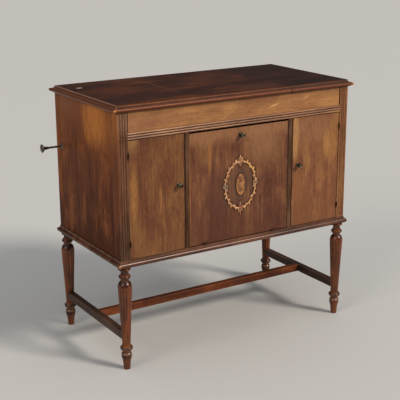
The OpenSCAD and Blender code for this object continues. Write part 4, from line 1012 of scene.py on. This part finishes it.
dress(motor_enamel, "motor_case", "horn_throat", arris=0.0)
dress(mild_steel, "spring_barrels", "winding_shaft", arris=0.0)
dress(aged_brass, "lid_stay", "lid_stay_stud", "lid_hinge_leaves", "barrel_gear", arris=0.0)
dress(
    dark_brass,
    "hinge_fixed_leaves",
    "left_door_hinge_leaves",
    "right_door_hinge_leaves",
    "flap_hinge_leaves",
    arris=0.0,
)
dress(
    nickel_plate,
    "platter",
    "record_pin",
    "tonearm_base",
    "tonearm",
    "sound_box",
    "needle",
    "needle_cups",
    "brake_lever",
    "speed_lever",
    arris=0.0,
)
dress(dull_nickel, "winder_escutcheon", "winding_knob", arris=0.0)

# ---- Felt ----------------------------------------------------------------------------------
# A disc of pressed wool felt, cut to the turntable with a hole for the spindle and glued on.
# Records have worn it a little lower towards the middle.

FELT_FIBRE = 0.0012  # real wool is 0.03 mm thick; drawn coarser to show
FADE_WIDTH = 0.05
FELT_HOLE = 0.012
FELT_EDGE = 0.0006
FELT_WEAR = 0.0002
WEAR_FROM = 0.7  # of this and the next, shares of the felt's radius
WEAR_MOST = 0.4

# Pressed wool, dyed green: quite matt, with a fuzzy nap, and greyer green where it has faded.
felt, tree, output = blank("pressed_wool_felt")
felt_place = add(tree, "ShaderNodeTexCoord", out="Object")
fibre = add(
    tree, "ShaderNodeTexNoise", {"Vector": felt_place, "Scale": 1 / FELT_FIBRE, "Detail": 6.0}
)
fading = add(
    tree, "ShaderNodeTexNoise", {"Vector": felt_place, "Scale": 1 / FADE_WIDTH, "Detail": 3.0}
)
faded = add(tree, "ShaderNodeMath", {0: fibre, 1: 0.5, 2: fading}, operation="MULTIPLY_ADD")
wool = add(tree, "ShaderNodeValToRGB", {"Fac": faded})
wool_tones = wool.node.color_ramp.elements
wool_tones[0].position, wool_tones[0].color = 0.55, linear("#213427")
wool_tones[1].position, wool_tones[1].color = 0.95, linear("#465d46")
nap = add(tree, "ShaderNodeBump", {"Height": fibre, "Strength": 0.7, "Distance": 0.0006})
felt_shader = add(
    tree,
    "ShaderNodeBsdfPrincipled",
    {"Base Color": wool, "Roughness": 0.95, "Sheen Weight": 0.25, "Normal": nap},
)
tree.links.new(felt_shader, output.inputs["Surface"])


def turn(profile, place, steps=64):
    """A bmesh turned on the lathe: profile is (radius, height) from one end to the other."""
    bm = bmesh.new()
    line = [bm.verts.new((r, 0, z)) for r, z in profile]
    edges = [bm.edges.new(pair) for pair in zip(line, line[1:])]
    bmesh.ops.spin(
        bm,
        geom=line + edges,
        cent=(0, 0, 0),
        axis=(0, 0, 1),
        angle=2 * math.pi,
        steps=steps,
        use_merge=True,
    )
    bmesh.ops.remove_doubles(bm, verts=bm.verts, dist=MERGE)
    bmesh.ops.recalc_face_normals(bm, faces=bm.faces)
    bm.transform(place)
    return bm


felt_low, felt_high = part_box("platter_felt")
felt_r = (felt_high.x - felt_low.x) / 2
felt_t = felt_high.z - felt_low.z
felt_centre = (felt_low + felt_high) / 2
bm = turn(
    [
        (FELT_HOLE, 0),
        (felt_r - FELT_EDGE, 0),
        (felt_r, FELT_EDGE),
        (felt_r, felt_t - FELT_EDGE),
        (felt_r - FELT_EDGE, felt_t),
        (felt_r * WEAR_FROM, felt_t),
        (felt_r * WEAR_MOST, felt_t - FELT_WEAR),
        (FELT_HOLE + FELT_EDGE, felt_t),
        (FELT_HOLE, felt_t - FELT_EDGE),
        (FELT_HOLE, 0),
    ],
    Matrix.Translation((felt_centre.x, felt_centre.y, felt_low.z)),
    steps=96,
)
felt_disc = finish_piece("felt_disc", bm, felt, "turntable", ["platter_felt"])

# ---- Screws --------------------------------------------------------------------------------
# Round slotted heads, nickelled on the deck and of brass at the back and under the lid. They
# hold the arm's base, the levers, the stay with its bracket, and the lid hinges' back leaves.

SCREW_R = 0.0027
PIVOT_SCREW_R = 0.0036
LEVER_BOSS_R = 0.008
ARM_FLANGE_T = 0.006
ARM_FLANGE_IN = 0.0036  # from the flange's rim to the screws
ARM_SCREW_TURNS = [math.radians(a) for a in (30, 150, 270)]
HINGE_LEAF_T = 0.001
HINGE_LEAF_HALF = 0.019
HINGE_LEAF_SCREWS = ((-0.0135, 0.824), (0.0, 0.812), (0.0135, 0.824))
BRACKET_T = 0.002
BRACKET_IN = 0.0055
BRACKET_SPREAD = 0.0125
FIRST_SLOT = 0.5
NEXT_SLOT = 1.3  # each slot stands as the screwdriver left it
HEAD_RISE = 0.6  # this and the next are shares of the head's radius
SLOT_HALF = 0.17
SLOT_FLOOR = 0.4  # this and the next are shares of the head's height
DOME_FOOT = 0.3


def add_screw(bm, place, radius):
    """A low domed head cut through by its slot, on a thin disc that is the slot's floor."""
    upright = place @ Matrix.Diagonal((radius, radius, HEAD_RISE * radius, 1))
    raised = upright @ Matrix.Translation((0, 0, SLOT_FLOOR / 2))
    disc = bmesh.ops.create_cone(
        bm, cap_ends=True, segments=24, radius1=1, radius2=1, depth=SLOT_FLOOR
    )["verts"]
    bmesh.ops.transform(bm, matrix=raised, verts=disc)
    for side in (-1, 1):
        half = bmesh.new()
        bmesh.ops.create_uvsphere(half, u_segments=24, v_segments=12, radius=1)
        slot_wall = (SLOT_HALF * side, 0, 0), (side, 0, 0)
        underside = (0, 0, DOME_FOOT), (0, 0, 1)
        for spot, facing in (slot_wall, underside):
            cut = bmesh.ops.bisect_plane(
                half,
                geom=half.verts[:] + half.edges[:] + half.faces[:],
                plane_co=spot,
                plane_no=facing,
                clear_inner=True,
            )["geom_cut"]
            rim = [g for g in cut if isinstance(g, bmesh.types.BMEdge)]
            bmesh.ops.edgeloop_fill(half, edges=rim)
        half.transform(upright)
        part = bpy.data.meshes.new("half_head")
        half.to_mesh(part)
        half.free()
        bm.from_mesh(part)
        bpy.data.meshes.remove(part)


arm_base_low, arm_base_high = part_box("tonearm_base")
arm_base_mid = (arm_base_low + arm_base_high) / 2
arm_screws_r = (arm_base_high.x - arm_base_low.x) / 2 - ARM_FLANGE_IN
arm_spots = [
    (
        arm_base_mid.x + arm_screws_r * math.cos(a),
        arm_base_mid.y + arm_screws_r * math.sin(a),
        arm_base_low.z + ARM_FLANGE_T,
    )
    for a in ARM_SCREW_TURNS
]
back_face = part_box("back_panel")[1].y
lid_leaf_low, lid_leaf_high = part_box("lid_hinge_leaves")
leaf_spots = [
    (x + dx, back_face + HINGE_LEAF_T, z)
    for x in (lid_leaf_low.x + HINGE_LEAF_HALF, lid_leaf_high.x - HINGE_LEAF_HALF)
    for dx, z in HINGE_LEAF_SCREWS
]
brake_low, brake_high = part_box("brake_lever")
brake_spot = (brake_high.x - LEVER_BOSS_R, brake_low.y + LEVER_BOSS_R, brake_high.z)
speed_low, speed_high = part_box("speed_lever")
speed_spot = ((speed_low.x + speed_high.x) / 2, speed_high.y - LEVER_BOSS_R, speed_high.z)
stay_low, stay_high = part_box("lid_stay")
stay_half = (stay_high.z - stay_low.z) / 2
stay_spot = (stay_high.x, stay_high.y - stay_half, (stay_low.z + stay_high.z) / 2)
bracket_low, bracket_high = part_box("lid_stay_stud")
bracket_mid_y = (bracket_low.y + bracket_high.y) / 2
bracket_spots = [
    (bracket_high.x - BRACKET_IN, bracket_mid_y + dy, bracket_high.z - BRACKET_T)
    for dy in (-BRACKET_SPREAD, BRACKET_SPREAD)
]

FACING = {
    "up": Matrix.Identity(4),
    "down": Matrix.Rotation(math.pi, 4, "X"),
    "back": Matrix.Rotation(-math.pi / 2, 4, "X"),
    "right": Matrix.Rotation(math.pi / 2, 4, "Y"),
}
SCREW_METAL = {"nickel": nickel_plate, "brass": aged_brass}
SCREWS = {
    "arm_base_screws": ("cabinet", "nickel", SCREW_R, "up", arm_spots),
    "back_hinge_screws": ("cabinet", "brass", SCREW_R, "back", leaf_spots),
    "brake_lever_screw": ("brake_lever", "nickel", PIVOT_SCREW_R, "up", [brake_spot]),
    "speed_lever_screw": ("speed_lever", "nickel", PIVOT_SCREW_R, "up", [speed_spot]),
    "lid_stay_screw": ("lid_stay", "brass", PIVOT_SCREW_R, "right", [stay_spot]),
    "stay_bracket_screws": ("lid", "brass", SCREW_R, "down", bracket_spots),
}
for name, (body, slot, radius, facing, spots) in SCREWS.items():
    bm = bmesh.new()
    for i, spot in enumerate(spots):
        turned_in = Matrix.Rotation(FIRST_SLOT + NEXT_SLOT * i, 4, "Z")
        add_screw(bm, Matrix.Translation(spot) @ FACING[facing] @ turned_in, radius)
    finish_piece(name, bm, SCREW_METAL[slot], body, crease=30)

# ---- Diaphragm -----------------------------------------------------------------------------
# A disc of thin aluminium, pressed into rings so that it gives, held under the sound box's
# rim. The needle bar's foot is fixed through its middle.

SOUND_BOX_RIM = 0.003
DIAPHRAGM_EDGE_MM = [(3.05, 0.0), (20.6, 0.0), (20.6, 0.3), (19.6, 0.9), (18.6, 0.4)]
PRESSED_RINGS_MM = (15.6, 11.6, 7.6)
RING_SECTION_MM = ((1.0, 0.4), (0.0, 1.0), (-1.0, 0.4))
DIAPHRAGM_MIDDLE_MM = [(4.8, 0.5), (3.05, 1.3), (3.05, 0.0)]

# Aluminium rolled as thin as foil and pressed: white-grey and bright, with crisp rings.
thin_aluminium = metal("thin_aluminium", "#c9c8c2", "#a09e97", 0.3, "#2a2824")

box_low, box_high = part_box("sound_box")
box_r = (box_high.z - box_low.z) / 2
box_face = Vector((box_low.x + SOUND_BOX_RIM, box_low.y + box_r, box_low.z + box_r))
rings = [(ring + dr, z) for ring in PRESSED_RINGS_MM for dr, z in RING_SECTION_MM]
bm = turn(
    [(r / 1000, z / 1000) for r, z in DIAPHRAGM_EDGE_MM + rings + DIAPHRAGM_MIDDLE_MM],
    Matrix.Translation(box_face) @ Matrix.Rotation(-math.pi / 2, 4, "Y"),
)
finish_piece("sound_box_diaphragm", bm, thin_aluminium, "sound_box", crease=50)

# ---- Door and flap knobs -------------------------------------------------------------------
# Small turned knobs on a flared foot. The blacking has rubbed off the round of the head, so
# a bright ring of bare metal shows round a dark middle.

KNOB_PROFILE_MM = [
    (0, 0),
    (7.6, 0),
    (7.6, 0.8),
    (6.8, 1.6),
    (5.2, 2.6),
    (4.1, 4.4),
    (3.9, 7.0),
    (4.4, 9.4),
    (6.0, 11.0),
    (7.8, 12.4),
    (8.6, 14.2),
    (8.5, 16.2),
    (7.9, 18.0),
    (6.8, 19.4),
    (5.8, 19.8),
    (4.8, 19.2),
    (3.8, 18.0),
    (2.0, 17.4),
    (0, 17.2),
]

# Turned bronze, blackened and then rubbed: nearly black in the hollows, dull grey-gold where
# fingers have polished it.
knob_bronze = metal("rubbed_bronze", "#6e6656", "#2e2820", 0.36, "#0a0806")

for node, body in (
    ("left_door_knob", "left_door"),
    ("right_door_knob", "right_door"),
    ("flap_knob", "flap"),
):
    low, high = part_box(node)
    foot = Vector(((low.x + high.x) / 2, high.y, (low.z + high.z) / 2))
    place = Matrix.Translation(foot) @ Matrix.Rotation(math.pi / 2, 4, "X")
    bm = turn([(r / 1000, z / 1000) for r, z in KNOB_PROFILE_MM], place, steps=48)
    finish_piece(node + "_turned", bm, knob_bronze, body, [node])

# ---- Wreath and patera ---------------------------------------------------------------------
# Carved fruitwood glued on the flap: a thin stem bent to an oval, with leaves in pairs, a
# rosette at each side, sprays above and below, and an oval patera in the middle.

WREATH_A = 0.0592
WREATH_B = 0.079
STEM_R = 0.0022
STEM_Z = 0.0014
LEAVES = 38
LEAF_LONG = 0.0128
LEAF_WIDE = 0.0078
LEAF_HIGH = 0.0044
LEAF_SEAT = 0.0004
LEAN_OUT = math.radians(44)
LEAN_IN = math.radians(40)
LEAF_EDGE = 0.25  # this and the next two are shares of a leaf's height
LEAF_CROWN = 0.45
LEAF_RIB = 0.3
BERRY = (0.0021, 0.0038)  # radius and height, as for the next three
PETAL = (0.0030, 0.0046)
ROSETTE_HUB = (0.0034, 0.0066)
SPRAY_BERRY = (0.0042, 0.0062)
BERRY_IN = 0.005
PETALS = 8
ROSETTE_R = 0.0065
SPRAY_LEAVES = ((0, 0.026), (34, 0.018), (-34, 0.018), (180, 0.022), (142, 0.013), (-142, 0.013))
SPRAY_WIDE = 0.0085
SPRAY_HIGH = 0.005
CARVING_SHADE_REACH = 0.006
FLECK_WIDTH = 0.009
TOOL_MARK = 0.0015


def carved(name, dark, middle, light, stains=()):
    """Carved fruitwood, once bronzed, light on the ridges; dark is the tone of painted shade in
    the cuts.
    """
    material, tree, output = blank(name)
    place = add(tree, "ShaderNodeTexCoord", out="Object")
    fleck = add(
        tree, "ShaderNodeTexNoise", {"Vector": place, "Scale": 1 / FLECK_WIDTH, "Detail": 5.0}
    )
    wood = add(tree, "ShaderNodeValToRGB", {"Fac": fleck})
    tones = wood.node.color_ramp.elements
    tones[0].position, tones[0].color = 0.36, linear(middle)
    tones[1].position, tones[1].color = 0.62, linear(light)
    wood = stained(tree, place, fleck, wood, stains)
    # Painted shade: the cuts that hide the sky are darkened to the tone dark.
    corner = add(
        tree, "ShaderNodeAmbientOcclusion", {"Distance": CARVING_SHADE_REACH}, out="AO", samples=8
    )
    shade_in_cuts = add(tree, "ShaderNodeMapRange", {"Value": corner, "From Min": 0.9, "From Max": 0.5})
    layer = {0: shade_in_cuts, 6: wood, 7: linear(dark)}
    shaded = add(tree, "ShaderNodeMix", layer, out=2, data_type="RGBA")
    tool_marks = add(
        tree, "ShaderNodeTexNoise", {"Vector": place, "Scale": 1 / TOOL_MARK, "Detail": 2.0}
    )
    relief = add(
        tree, "ShaderNodeBump", {"Height": tool_marks, "Strength": 0.25, "Distance": 0.0003}
    )
    shader = add(
        tree,
        "ShaderNodeBsdfPrincipled",
        {"Base Color": shaded, "Roughness": 0.42, "Normal": relief},
    )
    tree.links.new(shader, output.inputs["Surface"])
    return material


def add_leaf(bm, place, length=LEAF_LONG, width=LEAF_WIDE, high=LEAF_HIGH):
    """A pointed leaf, crowned across, with a raised rib, its stalk at the origin of place."""
    grown = bmesh.ops.create_grid(bm, x_segments=6, y_segments=4, size=0.5)["verts"]
    for v in grown:
        t = v.co.x + 0.5
        across = v.co.y * 2
        half = 0.5 * width * math.sin(math.pi * min(1.0, 0.06 + 0.94 * t) ** 0.8)
        crown = math.sin(math.pi * (0.12 + 0.8 * t))
        rib = LEAF_RIB if abs(across) < 0.1 else 0.0
        rise = LEAF_EDGE + crown * (LEAF_CROWN + rib - LEAF_CROWN * across * across)
        v.co = Vector((t * length, across * half, high * rise))
    faces = list({f for v in grown for f in v.link_faces})
    rim = bmesh.ops.extrude_face_region(bm, geom=faces, use_keep_orig=True)["geom"]
    floor_verts = [g for g in rim if isinstance(g, bmesh.types.BMVert)]
    for v in floor_verts:
        v.co.z = 0.0
    bmesh.ops.transform(bm, matrix=place, verts=list(grown) + floor_verts)


def add_boss(bm, place, radius, high):
    """A low dome, for a berry or a rosette's petals."""
    ball = bmesh.ops.create_uvsphere(bm, u_segments=12, v_segments=8, radius=1.0)["verts"]
    flattened = place @ Matrix.Diagonal((radius, radius, high, 1))
    bmesh.ops.transform(bm, matrix=flattened, verts=ball)


def add_spray(bm, place):
    """Three leaves that stand up and two that turn back, round a small berry."""
    for turn_deg, length in SPRAY_LEAVES:
        pointed = place @ Matrix.Rotation(math.radians(turn_deg), 4, "Z")
        add_leaf(bm, pointed, length=length, width=SPRAY_WIDE, high=SPRAY_HIGH)
    add_boss(bm, place, *SPRAY_BERRY)


wreath_centre = Vector((0, ornament_high.y, wreath_z))
on_flap = Matrix.Translation(wreath_centre) @ Matrix.Rotation(math.pi / 2, 4, "X")

bm = bmesh.new()
section = bmesh.ops.create_circle(bm, cap_ends=False, segments=10, radius=STEM_R)["verts"]
bmesh.ops.rotate(bm, verts=section, matrix=Matrix.Rotation(math.pi / 2, 3, "X"))
bmesh.ops.translate(bm, verts=section, vec=(WREATH_A, 0, STEM_Z))
bmesh.ops.spin(
    bm,
    geom=section + list(bm.edges),
    cent=(0, 0, 0),
    axis=(0, 0, 1),
    angle=2 * math.pi,
    steps=96,
    use_merge=True,
)
bmesh.ops.remove_doubles(bm, verts=bm.verts, dist=MERGE)
bmesh.ops.recalc_face_normals(bm, faces=bm.faces)
bmesh.ops.scale(bm, vec=(1, WREATH_B / WREATH_A, 1), verts=bm.verts)
for v in bm.verts:
    v.co.z = max(0.0, v.co.z)
for i in range(LEAVES):
    a = (i + 0.5) * 2 * math.pi / LEAVES
    spot = Vector((WREATH_A * math.cos(a), WREATH_B * math.sin(a), LEAF_SEAT))
    run = math.atan2(WREATH_B * math.cos(a), -WREATH_A * math.sin(a))
    outer = i % 3 != 1
    if (math.sin(a) >= 0) != (math.cos(a) >= 0):
        run += math.pi  # the leaves point away from the rosettes at the sides
        lean = LEAN_OUT if outer else -LEAN_IN
    else:
        lean = -LEAN_OUT if outer else LEAN_IN
    size = 0.9 + 0.22 * math.sin(i * 2.4)  # leaves cut by eye differ in length
    leaning = Matrix.Translation(spot) @ Matrix.Rotation(run + lean, 4, "Z")
    add_leaf(bm, leaning, length=LEAF_LONG * size)
    if i % 4 == 1:
        outward = spot.normalized() * BERRY_IN
        add_boss(bm, Matrix.Translation(spot - outward), *BERRY)
for side in (-1, 1):
    hub = Matrix.Translation((side * WREATH_A, 0, 0))
    for k in range(PETALS):
        turned = Matrix.Rotation(2 * math.pi * k / PETALS, 4, "Z")
        add_boss(bm, hub @ turned @ Matrix.Translation((ROSETTE_R, 0, 0)), *PETAL)
    add_boss(bm, hub, *ROSETTE_HUB)
    tip = Matrix.Translation((0, side * WREATH_B, 0))
    add_spray(bm, tip @ Matrix.Rotation(side * math.pi / 2, 4, "Z"))
bmesh.ops.transform(bm, matrix=on_flap, verts=bm.verts)

# Fruitwood cut with gouges, once bronzed: painted shade black-brown in the cuts and pinkish tan on
# the leaves, redder on the sprays, grey with dust on the rosettes, and paler gold in painted light
# on the upper right.
wreath_wood = carved(
    "carved_wreath_wood",
    "#24120a",
    "#b0764c",
    "#dca878",
    stains=[
        ((0, 0, 0.6145), (0.014, ALL, 0.013), "#a0503a", 0.8),
        # painted light: paler gold on the upper right, where the window light falls
        ((0.045, 0, 0.61), (0.035, ALL, 0.035), "#eab468", 0.8),
        ((0, 0, 0.4745), (0.012, ALL, 0.03), "#94523a", 0.7),
        ((-WREATH_A, 0, wreath_z), (0.012, ALL, 0.012), "#a08c78", 0.8),
        ((WREATH_A, 0, wreath_z), (0.012, ALL, 0.012), "#a08c78", 0.8),
    ],
)
finish_piece("wreath", bm, wreath_wood, "flap", ["flap_ornament"], crease=60)

PATERA_A = 0.0168
PATERA_B = 0.0358
RAYS = 16
RAY_DEPTH = 0.0017
RAYS_FROM = 0.35
RAYS_TO = 0.8
PATERA_FLOOR = 0.001  # what lies lower is the back, and stays flat

bm = turn(
    [
        (0.0, 0.0),
        (1.0, 0.0),
        (1.0, 0.0026),
        (0.95, 0.0036),
        (0.87, 0.0036),
        (0.82, 0.0026),
        (0.74, 0.0030),
        (0.56, 0.0044),
        (0.38, 0.0048),
        (0.30, 0.0040),
        (0.24, 0.0046),
        (0.12, 0.0060),
        (0.0, 0.0064),
    ],
    Matrix.Identity(4),
    steps=RAYS * 8,
)
for v in bm.verts:
    reach = math.hypot(v.co.x, v.co.y)
    if RAYS_FROM < reach < RAYS_TO and v.co.z > PATERA_FLOOR:
        around = math.atan2(v.co.y, v.co.x)
        v.co.z -= RAY_DEPTH * (0.5 + 0.5 * math.cos(RAYS * around))
oval = on_flap @ Matrix.Diagonal((PATERA_A, PATERA_B, 1, 1))
bmesh.ops.transform(bm, matrix=oval, verts=bm.verts)

# The same wood, darker: black painted shade in the grooves and dull ochre on the rays.
patera_wood = carved("carved_patera_wood", "#1c0c06", "#7e4c30", "#b07a44")
finish_piece("patera", bm, patera_wood, "flap", crease=60)
